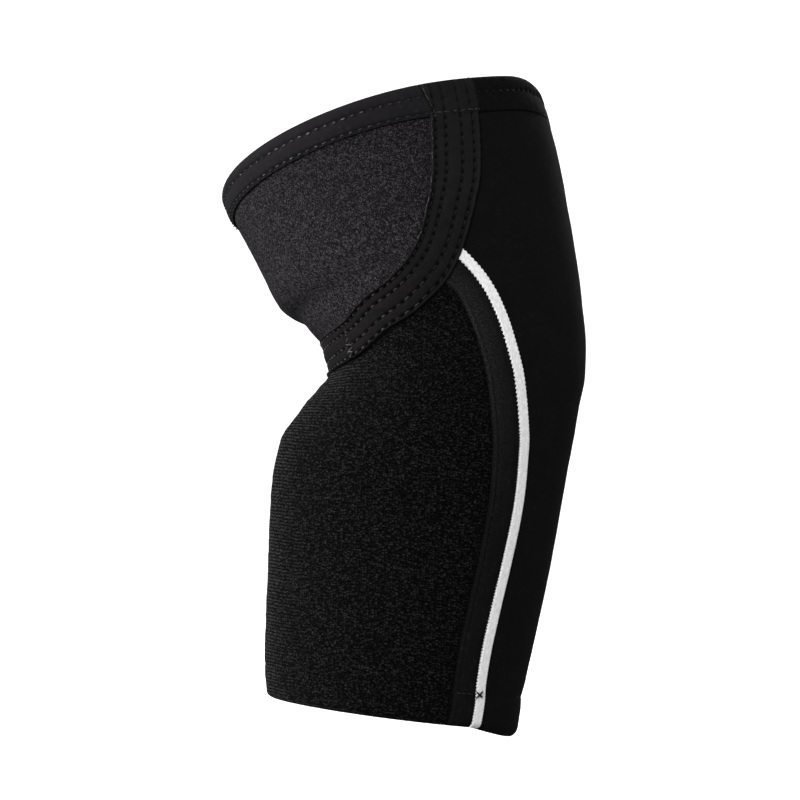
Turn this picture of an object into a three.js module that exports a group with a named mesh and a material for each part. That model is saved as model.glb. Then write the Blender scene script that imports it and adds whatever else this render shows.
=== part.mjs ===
// An elbow brace: a sleeve of stretch cloth panels, in the shape it has when worn on a bent arm.
// Every piece lies on one surface round the arm. A place on that surface is a turn and an along:
// turn is 0 at the back of the arm, 0.5 on the near side, 1 at the crook and 1.5 on the far side,
// and along is the way up the arm's axis in millimetres, 0 at the elbow.
// X points to the back of the elbow, Z up and Y to the far side.
import * as THREE from "three";

// Lengths along the arm's axis, from the elbow.
const UPPER_LENGTH = 71.8;
const FOREARM_LENGTH = 133.4;
const BEND_LENGTH = 60;

// The bend of the arm, in degrees. The carrying angle leans the upper arm to the far side.
const FOREARM_SLANT = 7.2;
const UPPER_SLANT = 16.9;
const CARRYING_ANGLE = 16;
const FOREARM_LEAN = 1.5;

// The sleeve's width from front to back at its two rims and at the elbow.
const TOP_WIDTH = 116;
const ELBOW_WIDTH = 100;
const BOTTOM_WIDTH = 88;

// Cloth.
const WALL = 3;
const TAPE_THICKNESS = 0.85;
const TAPE_LIFT = 0.35;
const SEAM_GAP = 0.5;
const TRIM_GAP = 0.3;

// Trim.
const BAND_WIDTH = 17;
const STRIP_WIDTH = 11;
const PIPING_WIDTH = 3.7;
const TOP_HEM_HEIGHT = 11;
const TOP_HEM_INSIDE = 8.5;
const BOTTOM_HEM_HEIGHT = 11.6;
const BOTTOM_HEM_TURN = 2.2;
const BACK_PANEL_DROP = 2.9;

// The arm's sections from the lower rim up. run is a share of the limb's length, forearm below 0.
// front, back and depth are the reach from the axis to the crook, the elbow and the sides,
// as shares of the sleeve's width there.
const SECTIONS = [
  { run: -1.0, front: 0.495, back: 0.5, depth: 0.435 },
  { run: -0.9, front: 0.517, back: 0.498, depth: 0.44 },
  { run: -0.7, front: 0.53, back: 0.512, depth: 0.44 },
  { run: -0.45, front: 0.542, back: 0.521, depth: 0.44 },
  { run: -0.33, front: 0.522, back: 0.521, depth: 0.445 },
  { run: -0.25, front: 0.462, back: 0.523, depth: 0.45 },
  { run: -0.17, front: 0.399, back: 0.527, depth: 0.45 },
  { run: -0.11, front: 0.358, back: 0.539, depth: 0.45 },
  { run: -0.05, front: 0.369, back: 0.541, depth: 0.45 },
  { run: 0.0, front: 0.378, back: 0.537, depth: 0.45 },
  { run: 0.05, front: 0.396, back: 0.532, depth: 0.45 },
  { run: 0.1, front: 0.41, back: 0.529, depth: 0.448 },
  { run: 0.2, front: 0.431, back: 0.525, depth: 0.444 },
  { run: 0.27, front: 0.466, back: 0.523, depth: 0.442 },
  { run: 0.34, front: 0.484, back: 0.5225, depth: 0.44 },
  { run: 0.55, front: 0.4925, back: 0.526, depth: 0.44 },
  { run: 0.83, front: 0.506, back: 0.5185, depth: 0.445 },
  { run: 0.9, front: 0.5075, back: 0.511, depth: 0.4485 },
  { run: 1.0, front: 0.5065, back: 0.5, depth: 0.454 },
];

// The middle of the band, from the upper rim down the near side and forward to the crook.
// width is a share of the band's width.
const BAND_LINE = [
  { turn: 0.343, run: 1.0, width: 1.03 },
  { turn: 0.354, run: 0.83, width: 1.03 },
  { turn: 0.37, run: 0.66, width: 1.03 },
  { turn: 0.388, run: 0.51, width: 0.99 },
  { turn: 0.42, run: 0.37, width: 0.93 },
  { turn: 0.48, run: 0.196, width: 0.9 },
  { turn: 0.556, run: 0.089, width: 0.875 },
  { turn: 0.648, run: 0.021, width: 0.84 },
  { turn: 0.75, run: -0.034, width: 0.8 },
  { turn: 0.88, run: -0.056, width: 0.78 },
  { turn: 1.0, run: -0.062, width: 0.78 },
];

// The middle of the piping, from the lower rim up to where the band covers it.
// strip is how far in front of it the side strip reaches, as a share of the strip's width.
const PIPING_LINE = [
  { run: -1.0, turn: 0.2755, strip: 0.95 },
  { run: -0.94, turn: 0.2735, strip: 0.94 },
  { run: -0.88, turn: 0.279, strip: 0.93 },
  { run: -0.79, turn: 0.2812, strip: 0.93 },
  { run: -0.7, turn: 0.278, strip: 0.94 },
  { run: -0.58, turn: 0.27, strip: 0.97 },
  { run: -0.42, turn: 0.2632, strip: 1.03 },
  { run: -0.27, turn: 0.2747, strip: 1.07 },
  { run: -0.18, turn: 0.2975, strip: 1.06 },
  { run: -0.07, turn: 0.3357, strip: 1.0 },
  { run: 0.035, turn: 0.3645, strip: 0.97 },
  { run: 0.11, turn: 0.3835, strip: 0.93 },
];

// Shares of the band's line, counted from the near rim to the far one,
// at which the piping and the strip's front edge come out from under it.
const PIPING_LEAVES_BAND = 0.224;
const STRIP_LEAVES_BAND = 0.262;

// The upper rim rises a little near the back of the arm, most at a turn to either side of it.
const RIM_RISE = 3.2;
const RIM_RISE_TURN = 0.09;
const RIM_RISE_REACH = 0.13;

// The lower edge of the binding dips over the band's end, on either side of the arm.
const HEM_DIP = 1.9;
const HEM_DIP_TURN = 0.3;
const HEM_DIP_REACH = 0.13;

// The rounding of the binding's fold, outside and inside.
const FOLD_ROUND = 0.6;
const FOLD_TIGHT = 0.3;

// Facets.
const PANEL_ROWS = 30;
const FRONT_COLUMNS = 20;
const BACK_COLUMNS = 11;
const UPPER_ROWS = 15;
const STRIP_ROWS = 26;
const BAND_STEPS = 64;
const BAND_COLUMNS = 4;
const PIPING_STEPS = 36;
const HEM_STEPS = 26;
const SMALL = 0.01;
const SHARE_STEP = 1e-4;
const SHARE_ERROR = 1e-7;
const PIPING_TRIM_STEP = 0.1;

// Finishes.
const charcoalKnit = new THREE.MeshStandardMaterial({ color: 0x2a292c, roughness: 0.95 });
const charcoalJersey = new THREE.MeshStandardMaterial({ color: 0x252429, roughness: 0.8 });
const blackTerry = new THREE.MeshStandardMaterial({ color: 0x0e0e0f, roughness: 1 });
const blackJersey = new THREE.MeshStandardMaterial({ color: 0x101011, roughness: 0.75 });
const whiteTwill = new THREE.MeshStandardMaterial({ color: 0xe2e2e0, roughness: 0.8 });

const lerp = THREE.MathUtils.lerp;
const clamp = THREE.MathUtils.clamp;
const radians = THREE.MathUtils.degToRad;

// A run, a share of its limb, as millimetres along the axis.
const alongOf = (run) => run * (run < 0 ? FOREARM_LENGTH : UPPER_LENGTH);

// A direction that slants by an angle to the front and leans by another to the far side.
function limb(slant, lean, up) {
  const level = Math.cos(radians(lean));
  return new THREE.Vector3(
    -Math.sin(radians(slant)) * level,
    Math.sin(radians(lean)) * up,
    Math.cos(radians(slant)) * level * up,
  );
}
const UPPER_LIMB = limb(UPPER_SLANT, CARRYING_ANGLE, 1);
const FOREARM_LIMB = limb(FOREARM_SLANT, FOREARM_LEAN, -1);

// A smooth curve through a table's column that never overshoots its rows.
// Each row's slope is the harmonic mean of its neighbours', or flat at a turning point.
function columnOf(rows, name) {
  const at = rows.map((row) => row.along);
  const value = rows.map((row) => row[name]);
  const rise = value.slice(1).map((v, i) => (v - value[i]) / (at[i + 1] - at[i]));
  const slope = value.map((v, i) => {
    if (i === 0) return rise[0];
    if (i === rise.length) return rise[i - 1];
    const [a, b] = [rise[i - 1], rise[i]];
    return a * b <= 0 ? 0 : (2 * a * b) / (a + b);
  });
  return (along) => {
    const after = at.findIndex((a) => a > along);
    const i = after < 0 ? at.length - 2 : Math.max(after - 1, 0);
    const span = at[i + 1] - at[i];
    const t = (along - at[i]) / span;
    const rest = 1 - t;
    return (
      (1 + 2 * t) * rest * rest * value[i] +
      t * rest * rest * span * slope[i] +
      t * t * (3 - 2 * t) * value[i + 1] -
      t * t * rest * span * slope[i + 1]
    );
  };
}
const placed = (rows) => rows.map((row) => ({ ...row, along: alongOf(row.run) }));
const sections = placed(SECTIONS);
const frontReach = columnOf(sections, "front");
const backReach = columnOf(sections, "back");
const sideReach = columnOf(sections, "depth");

// The arm's axis at a place along it: two straight limbs, joined at the elbow by a parabola.
function axisAt(along) {
  const half = BEND_LENGTH / 2;
  const t = clamp((along + half) / BEND_LENGTH, 0, 1);
  const down = along < -half ? -along : half * (1 - t) ** 2;
  const up = along > half ? along : half * t ** 2;
  const point = new THREE.Vector3();
  if (t < 1) point.addScaledVector(FOREARM_LIMB, down);
  if (t > 0) point.addScaledVector(UPPER_LIMB, up);
  const tangent = FOREARM_LIMB.clone().multiplyScalar(t - 1).addScaledVector(UPPER_LIMB, t);
  return { point, tangent: tangent.normalize() };
}

// The sleeve's width from front to back, which changes evenly along each limb.
function widthAt(along) {
  const rim = along < 0 ? BOTTOM_WIDTH : TOP_WIDTH;
  const share = along < 0 ? -along / FOREARM_LENGTH : along / UPPER_LENGTH;
  return lerp(ELBOW_WIDTH, rim, share);
}

// The surface: two half ellipses that meet at the sides, in the plane square to the axis.
function skin(turn, along) {
  const { point, tangent } = axisAt(along);
  const far = new THREE.Vector3(0, 1, 0).addScaledVector(tangent, -tangent.y).normalize();
  const back = new THREE.Vector3().crossVectors(far, tangent);
  const width = widthAt(along);
  const [x, y] = [Math.cos(Math.PI * turn), Math.sin(Math.PI * turn)];
  const reach = x > 0 ? backReach(along) : frontReach(along);
  return point
    .addScaledVector(back, reach * width * x)
    .addScaledVector(far, -sideReach(along) * width * y);
}

// How the surface moves for a unit of turn and for a millimetre along.
function slopesAt(turn, along) {
  const step = (a, b, size) => b.sub(a).divideScalar(2 * size);
  return {
    byTurn: step(skin(turn - SMALL, along), skin(turn + SMALL, along), SMALL),
    byAlong: step(skin(turn, along - SMALL), skin(turn, along + SMALL), SMALL),
  };
}

// A point that stands off the surface by an offset, outwards where it is above 0.
function cloth(place, offset) {
  const { byTurn, byAlong } = slopesAt(place.turn, place.along);
  const outwards = new THREE.Vector3().crossVectors(byAlong, byTurn).normalize();
  return skin(place.turn, place.along).addScaledVector(outwards, offset);
}

// The place a distance to one side of a line on the surface, given the next place on the line.
// The side with more turn is above 0 where the line goes up.
function beside(place, next, distance) {
  const { byTurn, byAlong } = slopesAt(place.turn, place.along);
  const outwards = new THREE.Vector3().crossVectors(byAlong, byTurn).normalize();
  const ahead = skin(next.turn, next.along).sub(skin(place.turn, place.along));
  const side = new THREE.Vector3().crossVectors(outwards, ahead).normalize();
  const [tt, ta, aa] = [byTurn.dot(byTurn), byTurn.dot(byAlong), byAlong.dot(byAlong)];
  const [st, sa] = [side.dot(byTurn), side.dot(byAlong)];
  const size = distance / (tt * aa - ta * ta);
  return {
    turn: place.turn + (st * aa - sa * ta) * size,
    along: place.along + (sa * tt - st * ta) * size,
  };
}

// A place of the near side kept there, or moved to the same place on the far side.
const near = (place) => place;
const mirrored = (place) => ({ ...place, turn: 2 - place.turn });
const gridOn = (side, grid) =>
  grid.map((row) => (side === near ? row : row.map(mirrored).reverse()));
const between = (a, b, t) => ({
  turn: lerp(a.turn, b.turn, t),
  along: lerp(a.along, b.along, t),
});

// The band's middle, from the near rim (0) through the crook (0.5) to the far rim (1).
const bandRows = placed(BAND_LINE);
const bandPoints = [...bandRows, ...bandRows.slice(0, -1).reverse().map(mirrored)];
const bandCurve = new THREE.CatmullRomCurve3(
  bandPoints.map((row) => new THREE.Vector3(row.turn, row.along, row.width * BAND_WIDTH)),
  false,
  "catmullrom",
);
function bandAt(share) {
  const p = bandCurve.getPoint(share);
  return { turn: p.x, along: p.y, width: p.z };
}
// The share of the band's near half at a place along the arm, found by halving.
function bandShare(along) {
  let [low, high] = [0, 0.5];
  while (high - low > SHARE_ERROR) {
    const middle = (low + high) / 2;
    if (bandAt(middle).along > along) low = middle;
    else high = middle;
  }
  return low;
}

// The piping's middle and the strip's front edge, each ending under the band.
const pipingTop = bandAt(PIPING_LEAVES_BAND);
const stripTop = bandAt(STRIP_LEAVES_BAND);
const pipingRows = placed(PIPING_LINE);
const pipingTurn = columnOf([...pipingRows, pipingTop], "turn");
const pipingAt = (along) => ({ turn: pipingTurn(along), along });
const stripRows = pipingRows.map((row) => {
  const above = pipingAt(row.along + SMALL);
  return beside(row, above, row.strip * STRIP_WIDTH);
});
const stripTurn = columnOf([...stripRows, stripTop].filter((row) => row.along <= stripTop.along), "turn");
const stripAt = (along) => ({ turn: stripTurn(along), along });

// A closed body from ladders of points. A ladder has an outer rail and an inner rail of as many
// points, the body's sides run from ladder to ladder, and the first and last ladder close it.
function body(ladders) {
  const count = ladders[0].outer.length;
  const ring = 2 * count;
  const positions = ladders.flatMap(({ outer, inner }) => [...outer, ...inner.toReversed()]);
  const faces = [];
  const quad = (a, b, c, d) => faces.push(a, b, c, a, c, d);
  for (let i = 0; i + 1 < ladders.length; i++)
    for (let j = 0; j < ring; j++) {
      const next = (j + 1) % ring;
      quad(i * ring + j, (i + 1) * ring + j, (i + 1) * ring + next, i * ring + next);
    }
  const last = (ladders.length - 1) * ring;
  for (let j = 0; j + 1 < count; j++) {
    const [a, b, c, d] = [j, j + 1, ring - 2 - j, ring - 1 - j];
    quad(a, b, c, d);
    quad(last + a, last + d, last + c, last + b);
  }
  const geometry = new THREE.BufferGeometry().setFromPoints(positions);
  geometry.setIndex(faces);
  geometry.computeVertexNormals();
  return geometry;
}

// A wall of cloth over a grid of places, whose rows go up and whose places have rising turn.
// outer and inner give its two faces' offsets from the surface.
function wall(grid, outer, inner) {
  return body(
    grid.map((row) => ({
      outer: row.map((place) => cloth(place, outer)),
      inner: row.map((place) => cloth(place, inner(place))),
    })),
  );
}

// The grid with its border pulled in, along its own rows and columns, by half a seam's gap.
function inset(grid) {
  const pull = (place, towards) => {
    const span = skin(place.turn, place.along).distanceTo(skin(towards.turn, towards.along));
    return between(place, towards, SEAM_GAP / 2 / span);
  };
  const narrowed = grid.map((row) => [
    pull(row[0], row[1]),
    ...row.slice(1, -1),
    pull(row.at(-1), row.at(-2)),
  ]);
  const top = narrowed.at(-1).map((place, j) => pull(place, narrowed.at(-2)[j]));
  return [...narrowed.slice(0, -1), top];
}

// The places of a patch between four lines, each a function of a share from 0 to 1.
// The lower and upper lines go towards more turn, and the two side lines go up.
function patch(lower, upper, first, second, rows, columns) {
  const mix = (name, u, v) => {
    const across = lerp(lower(u)[name], upper(u)[name], v);
    const upwards = lerp(first(v)[name], second(v)[name], u);
    const low = lerp(lower(0)[name], lower(1)[name], u);
    const high = lerp(upper(0)[name], upper(1)[name], u);
    return across + upwards - lerp(low, high, v);
  };
  return rows.map((v) =>
    columns.map((u) => ({ turn: mix("turn", u, v), along: mix("along", u, v) })),
  );
}

// Shares from 0 to 1 in even steps, or closer together towards 1 where the power is above 1.
const shares = (steps, power = 1) =>
  Array.from({ length: steps + 1 }, (_, i) => 1 - (1 - i / steps) ** power);

// The same with two more at the bottom, where the hem's turned edge ends.
function sharesFromHem(steps, length, power) {
  const end = BOTTOM_HEM_HEIGHT / length;
  const step = BOTTOM_HEM_TURN / 2 / length;
  return [0, end / 2, end, ...shares(steps, power).map((v) => lerp(end + step, 1, v))];
}

// The inner face of a panel: the hem is the panel's own end, turned in and pressed flat.
const hemTop = -FOREARM_LENGTH + BOTTOM_HEM_HEIGHT + SMALL;
const innerFace = (place) => -WALL - (place.along <= hemTop ? BOTTOM_HEM_TURN : 0);
const plainInner = () => -WALL;

// The binding folds over the panels' upper edge, so the panels stop short of the rim.
const BINDING_FOLD = TAPE_THICKNESS + TRIM_GAP;
const panelTop = UPPER_LENGTH - BINDING_FOLD - TRIM_GAP;

// The back of the sleeve, from rim to rim. It meets the front panel under the band
// and the side strips under the piping. Its lower rim dips towards the middle.
function backPanel() {
  const edge = (along) =>
    along > pipingTop.along ? bandAt(bandShare(along)).turn : pipingTurn(along);
  const lower = sharesFromHem(PANEL_ROWS, FOREARM_LENGTH + pipingTop.along, 1);
  const alongs = [
    ...lower.map((v) => lerp(-FOREARM_LENGTH, pipingTop.along, v)),
    ...shares(UPPER_ROWS / 2).slice(1).map((v) => lerp(pipingTop.along, panelTop, v)),
  ];
  const grid = alongs.map((along) =>
    shares(BACK_COLUMNS).map((u) => ({ turn: lerp(-edge(along), edge(along), u), along })),
  );
  grid[0] = grid[0].map((place, j) => {
    const fromMiddle = (2 * j) / BACK_COLUMNS - 1;
    return { ...place, along: place.along - BACK_PANEL_DROP * (1 - fromMiddle ** 2) };
  });
  return wall(inset(grid), 0, innerFace);
}

// The front of the forearm, from the lower rim up to the crook.
function forearmPanel() {
  const rise = (v) => lerp(-FOREARM_LENGTH, stripTop.along, v);
  const rim = stripAt(-FOREARM_LENGTH);
  const grid = patch(
    (u) => between(rim, mirrored(rim), u),
    (u) => bandAt(lerp(STRIP_LEAVES_BAND, 1 - STRIP_LEAVES_BAND, u)),
    (v) => stripAt(rise(v)),
    (v) => mirrored(stripAt(rise(v))),
    sharesFromHem(PANEL_ROWS, FOREARM_LENGTH + stripTop.along, 1.35),
    shares(FRONT_COLUMNS),
  );
  return wall(inset(grid), 0, innerFace);
}

// The front of the upper arm, which narrows down to the crook.
function upperFrontPanel() {
  const start = bandShare(panelTop);
  const grid = shares(UPPER_ROWS, 1.6)
    .map((v) => bandAt(lerp(start, 0.49, v)))
    .reverse()
    .map((edge) => shares(FRONT_COLUMNS).map((u) => between(edge, mirrored(edge), u)));
  const [lowest, second] = grid;
  const lift = SEAM_GAP / 2 / (second[0].along - lowest[0].along);
  grid[0] = lowest.map((place, j) => between(place, second[j], clamp(lift, 0, 0.5)));
  return wall(inset(grid), 0, plainInner);
}

// The narrow strip between the forearm panel and the piping.
function sideStrip(side) {
  const rise = (top) => (v) => lerp(-FOREARM_LENGTH, top.along, v);
  const grid = patch(
    (u) => between(pipingAt(-FOREARM_LENGTH), stripAt(-FOREARM_LENGTH), u),
    (u) => bandAt(lerp(PIPING_LEAVES_BAND, STRIP_LEAVES_BAND, u)),
    (v) => pipingAt(rise(pipingTop)(v)),
    (v) => stripAt(rise(stripTop)(v)),
    sharesFromHem(STRIP_ROWS, FOREARM_LENGTH + stripTop.along, 1.1),
    shares(2),
  );
  return wall(gridOn(side, inset(grid)), 0, innerFace);
}

// How far the lower edge of the rim's binding dips at a turn.
function hemDip(turn) {
  const fromSide = Math.min(Math.abs(turn), 2 - Math.abs(turn));
  return HEM_DIP * Math.exp(-(((fromSide - HEM_DIP_TURN) / HEM_DIP_REACH) ** 2));
}

// The band: a tape over the seam, from the near rim's hem round the crook to the far one's.
// Its two ends are cut along the hem.
function elbowBand() {
  const top = UPPER_LENGTH - TOP_HEM_HEIGHT - TRIM_GAP;
  const start = bandShare(top);
  const ladders = shares(BAND_STEPS).map((v) => {
    const share = lerp(start, 1 - start, v);
    const [here, next] = [bandAt(share), bandAt(share + SHARE_STEP)];
    const across = shares(BAND_COLUMNS).map((u) => {
      const place = beside(here, next, (u - 0.5) * here.width);
      return v > 0 && v < 1 ? place : { ...place, along: top - hemDip(place.turn) };
    });
    return {
      outer: across.map((place) => cloth(place, TAPE_LIFT + TAPE_THICKNESS)),
      inner: across.map((place) => cloth(place, TAPE_LIFT)),
    };
  });
  return body(ladders);
}

// The piping: a narrow flat tape over the seam behind the strip. Its top end is cut
// to meet the band's edge.
function piping(side) {
  const bandSamples = shares(400).map(bandAt);
  const clearOfBand = (place) => {
    const here = skin(place.turn, place.along);
    return bandSamples.every(
      (b) => skin(b.turn, b.along).distanceTo(here) > b.width / 2 + TRIM_GAP,
    );
  };
  const lineAt = (along, x) => beside(pipingAt(along), pipingAt(along + SMALL), x);
  const columns = shares(1).map((u) => {
    const x = (u - 0.5) * PIPING_WIDTH;
    let top = pipingTop.along;
    while (!clearOfBand(side(lineAt(top, x)))) top -= PIPING_TRIM_STEP;
    return shares(PIPING_STEPS).map((v) => lineAt(lerp(-FOREARM_LENGTH, top, v), x));
  });
  const grid = columns[0].map((_, i) => columns.map((column) => column[i]));
  return wall(gridOn(side, grid), TAPE_LIFT + TAPE_THICKNESS, () => TAPE_LIFT);
}

// How far the rim's binding is moved up: by the rise at its fold, and by the dip down at its
// lower edge.
function rimRise(turn, drop) {
  const fromPeak = (Math.abs(turn) - RIM_RISE_TURN) / RIM_RISE_REACH;
  const rise = RIM_RISE * Math.exp(-(fromPeak ** 2));
  return lerp(rise, -hemDip(turn), drop / TOP_HEM_HEIGHT);
}

// The binding of the upper rim between two turns: an outer leaf, a fold over the rim
// and an inner leaf, all of one thickness.
function rimBinding(firstTurn, lastTurn) {
  const [round, tight] = [FOLD_ROUND, FOLD_TIGHT];
  const [outside, inside] = [TAPE_LIFT, -WALL - 2 * TAPE_LIFT];
  const outer = [
    { offset: outside + TAPE_THICKNESS, drop: TOP_HEM_HEIGHT },
    { offset: outside + TAPE_THICKNESS, drop: round },
    { offset: outside + TAPE_THICKNESS - round, drop: 0 },
    { offset: inside - TAPE_THICKNESS + round, drop: 0 },
    { offset: inside - TAPE_THICKNESS, drop: round },
    { offset: inside - TAPE_THICKNESS, drop: TOP_HEM_INSIDE },
  ];
  const inner = [
    { offset: outside, drop: TOP_HEM_HEIGHT },
    { offset: outside, drop: TAPE_THICKNESS + tight },
    { offset: outside - tight, drop: TAPE_THICKNESS },
    { offset: inside + tight, drop: TAPE_THICKNESS },
    { offset: inside, drop: TAPE_THICKNESS + tight },
    { offset: inside, drop: TOP_HEM_INSIDE },
  ];
  const rail = (points, turn) =>
    points.map(({ offset, drop }) =>
      cloth({ turn, along: UPPER_LENGTH - drop + rimRise(turn, drop) }, offset),
    );
  const turns = shares(HEM_STEPS).map((u) => lerp(lastTurn, firstTurn, u));
  return body(turns.map((turn) => ({ outer: rail(outer, turn), inner: rail(inner, turn) })));
}

// The two bindings meet where the band's front edge comes up to the rim.
const bandTop = bandAt(0);
const join = beside(bandTop, bandAt(SHARE_STEP), -bandTop.width / 2).turn;
const halfGap = TRIM_GAP / 2 / slopesAt(join, UPPER_LENGTH).byTurn.length();

const brace = new THREE.Group();
function add(name, geometry, material) {
  const mesh = new THREE.Mesh(geometry, material);
  mesh.name = name;
  brace.add(mesh);
}
add("upper_front_panel", upperFrontPanel(), charcoalKnit);
add("forearm_panel", forearmPanel(), blackTerry);
add("back_panel", backPanel(), blackJersey);
add("side_strip_near", sideStrip(near), blackJersey);
add("side_strip_far", sideStrip(mirrored), blackJersey);
add("elbow_band", elbowBand(), blackJersey);
add("piping_near", piping(near), whiteTwill);
add("piping_far", piping(mirrored), whiteTwill);
add("top_hem_front", rimBinding(join + halfGap, 2 - join - halfGap), charcoalJersey);
add("top_hem_back", rimBinding(-join + halfGap, join - halfGap), blackJersey);

export default brace;
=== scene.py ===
# %% [markdown]
# # An elbow brace, panel by panel
# The brace is a sleeve of stretch cloth, in the shape it takes on a bent arm. A charcoal knit
# covers the front of the upper arm, black terry the front of the forearm and smooth black
# jersey the back. A stitched band covers the seam between them, and a white tape runs down
# behind a narrow side strip. Each cloth is made here as its own fine surface, on the same
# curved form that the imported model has, and stands in for the plain solid there.

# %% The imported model
import math

import bpy
import numpy as np
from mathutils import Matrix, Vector


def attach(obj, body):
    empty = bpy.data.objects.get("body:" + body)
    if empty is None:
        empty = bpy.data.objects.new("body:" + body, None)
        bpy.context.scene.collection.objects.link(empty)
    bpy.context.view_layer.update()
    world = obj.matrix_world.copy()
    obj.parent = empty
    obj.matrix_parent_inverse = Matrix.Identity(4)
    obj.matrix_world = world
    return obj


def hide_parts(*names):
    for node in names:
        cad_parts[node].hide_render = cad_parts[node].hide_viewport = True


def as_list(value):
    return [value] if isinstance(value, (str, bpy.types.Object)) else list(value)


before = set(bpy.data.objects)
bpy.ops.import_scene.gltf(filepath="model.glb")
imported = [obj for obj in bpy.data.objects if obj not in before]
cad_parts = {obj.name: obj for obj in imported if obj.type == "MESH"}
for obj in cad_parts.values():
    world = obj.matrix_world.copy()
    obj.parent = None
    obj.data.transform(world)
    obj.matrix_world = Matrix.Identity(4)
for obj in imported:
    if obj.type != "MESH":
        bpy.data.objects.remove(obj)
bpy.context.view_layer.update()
MM = 0.001
print("nodes:", ", ".join(sorted(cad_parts)))

# %% [markdown]
# ## The form of the arm
# A sleeve could be sculpted freely, but then its panels would not meet. Here every point of
# cloth has an address: turn is the way round the arm (0 at the back, 0.5 on the near side,
# 1 at the crook, 1.5 on the far side) and along is the height on the arm's own axis in
# millimetres, 0 at the elbow. One function turns an address into a point in space.

# %% Sizes in millimetres and degrees
UPPER_LENGTH = 71.8
FOREARM_LENGTH = 133.4
BEND_LENGTH = 60
FOREARM_SLANT = 7.2
UPPER_SLANT = 16.9
CARRYING_ANGLE = 16
FOREARM_LEAN = 1.5
TOP_WIDTH = 116
ELBOW_WIDTH = 100
BOTTOM_WIDTH = 88
WALL = 3
TAPE_THICKNESS = 0.85
TAPE_LIFT = 0.35
TAPE_FACE = TAPE_LIFT + TAPE_THICKNESS
BAND_WIDTH = 17
STRIP_WIDTH = 11
PIPING_WIDTH = 3.7
TOP_HEM_HEIGHT = 11
TOP_HEM_INSIDE = 8.5
BOTTOM_HEM_HEIGHT = 11.6
BOTTOM_HEM_TURN = 2.2
BACK_PANEL_DROP = 2.9
PIPING_LEAVES_BAND = 0.224
STRIP_LEAVES_BAND = 0.262
RIM_RISE = 3.2
RIM_RISE_TURN = 0.09
RIM_RISE_REACH = 0.13
HEM_DIP = 1.9
HEM_DIP_TURN = 0.3
HEM_DIP_REACH = 0.13
PANEL_TOP = UPPER_LENGTH - 1.45
FOLD_RADIUS = 2.6  # of the lower rim's fold
HEM_MARGIN = 2  # above the lower hem's edge
SMALL = 0.01

# %% The arm's sections, the band's line and the piping's line
# run is a share of a limb's length, below 0 on the forearm. The reaches are shares of the width.
SECTIONS = np.array([  # run, reach to the crook, reach to the elbow, reach to the sides
    (-1.0, 0.495, 0.5, 0.435), (-0.9, 0.517, 0.498, 0.44), (-0.7, 0.53, 0.512, 0.44),
    (-0.45, 0.542, 0.521, 0.44), (-0.33, 0.522, 0.521, 0.445), (-0.25, 0.462, 0.523, 0.45),
    (-0.17, 0.399, 0.527, 0.45), (-0.11, 0.358, 0.539, 0.45), (-0.05, 0.369, 0.541, 0.45),
    (0.0, 0.378, 0.537, 0.45), (0.05, 0.396, 0.532, 0.45), (0.1, 0.41, 0.529, 0.448),
    (0.2, 0.431, 0.525, 0.444), (0.27, 0.466, 0.523, 0.442), (0.34, 0.484, 0.5225, 0.44),
    (0.55, 0.4925, 0.526, 0.44), (0.83, 0.506, 0.5185, 0.445), (0.9, 0.5075, 0.511, 0.4485),
    (1.0, 0.5065, 0.5, 0.454)])
BAND_LINE = np.array([  # turn, run, share of the band's width, from the upper rim to the crook
    (0.343, 1.0, 1.03), (0.354, 0.83, 1.03), (0.37, 0.66, 1.03), (0.388, 0.51, 0.99),
    (0.42, 0.37, 0.93), (0.48, 0.196, 0.9), (0.556, 0.089, 0.875), (0.648, 0.021, 0.84),
    (0.75, -0.034, 0.8), (0.88, -0.056, 0.78), (1.0, -0.062, 0.78)])
PIPING_LINE = np.array([  # run, turn, share of the strip's width in front of it
    (-1.0, 0.2755, 0.95), (-0.94, 0.2735, 0.94), (-0.88, 0.279, 0.93), (-0.79, 0.2812, 0.93),
    (-0.7, 0.278, 0.94), (-0.58, 0.27, 0.97), (-0.42, 0.2632, 1.03), (-0.27, 0.2747, 1.07),
    (-0.18, 0.2975, 1.06), (-0.07, 0.3357, 1.0), (0.035, 0.3645, 0.97), (0.11, 0.3835, 0.93)])


# %% From a table to a smooth curve
def along_of(run):
    """Millimetres along the axis: the run times the length of the limb it lies on."""
    return run * np.where(run < 0, FOREARM_LENGTH, UPPER_LENGTH)


def smooth_column(at, value):
    """A curve through a table's column that never overshoots its rows.

    A row's slope is the harmonic mean of the slopes on its two sides, or flat where the
    column turns back. Between two rows runs the cubic with their values and slopes."""
    rise = np.diff(value) / np.diff(at)
    before, after = rise[:-1], rise[1:]
    flat = before * after <= 0
    middle = np.where(flat, 0, 2 * before * after / np.where(flat, 1, before + after))
    slope = np.concatenate([rise[:1], middle, rise[-1:]])

    def curve(x):
        i = np.clip(np.searchsorted(at, x, side="right") - 1, 0, len(at) - 2)
        span = at[i + 1] - at[i]
        t = (x - at[i]) / span
        rest = 1 - t
        return ((1 + 2 * t) * rest**2 * value[i] + t * rest**2 * span * slope[i]
                + t**2 * (3 - 2 * t) * value[i + 1] - t**2 * rest * span * slope[i + 1])

    return curve


section_at = along_of(SECTIONS[:, 0])
front_reach, back_reach, side_reach = (
    smooth_column(section_at, SECTIONS[:, k]) for k in (1, 2, 3))
print("sections from", section_at[0], "to", section_at[-1], "mm along the arm")


# %% The axis and the skin
def limb(slant, lean, up):
    """The direction that slants to the front by one angle and leans to the far side by another."""
    slant, lean = math.radians(slant), math.radians(lean)
    return np.array([-math.sin(slant) * math.cos(lean), math.sin(lean) * up,
                     math.cos(slant) * math.cos(lean) * up])


UPPER_LIMB = limb(UPPER_SLANT, CARRYING_ANGLE, 1)
FOREARM_LIMB = limb(FOREARM_SLANT, FOREARM_LEAN, -1)


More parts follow.
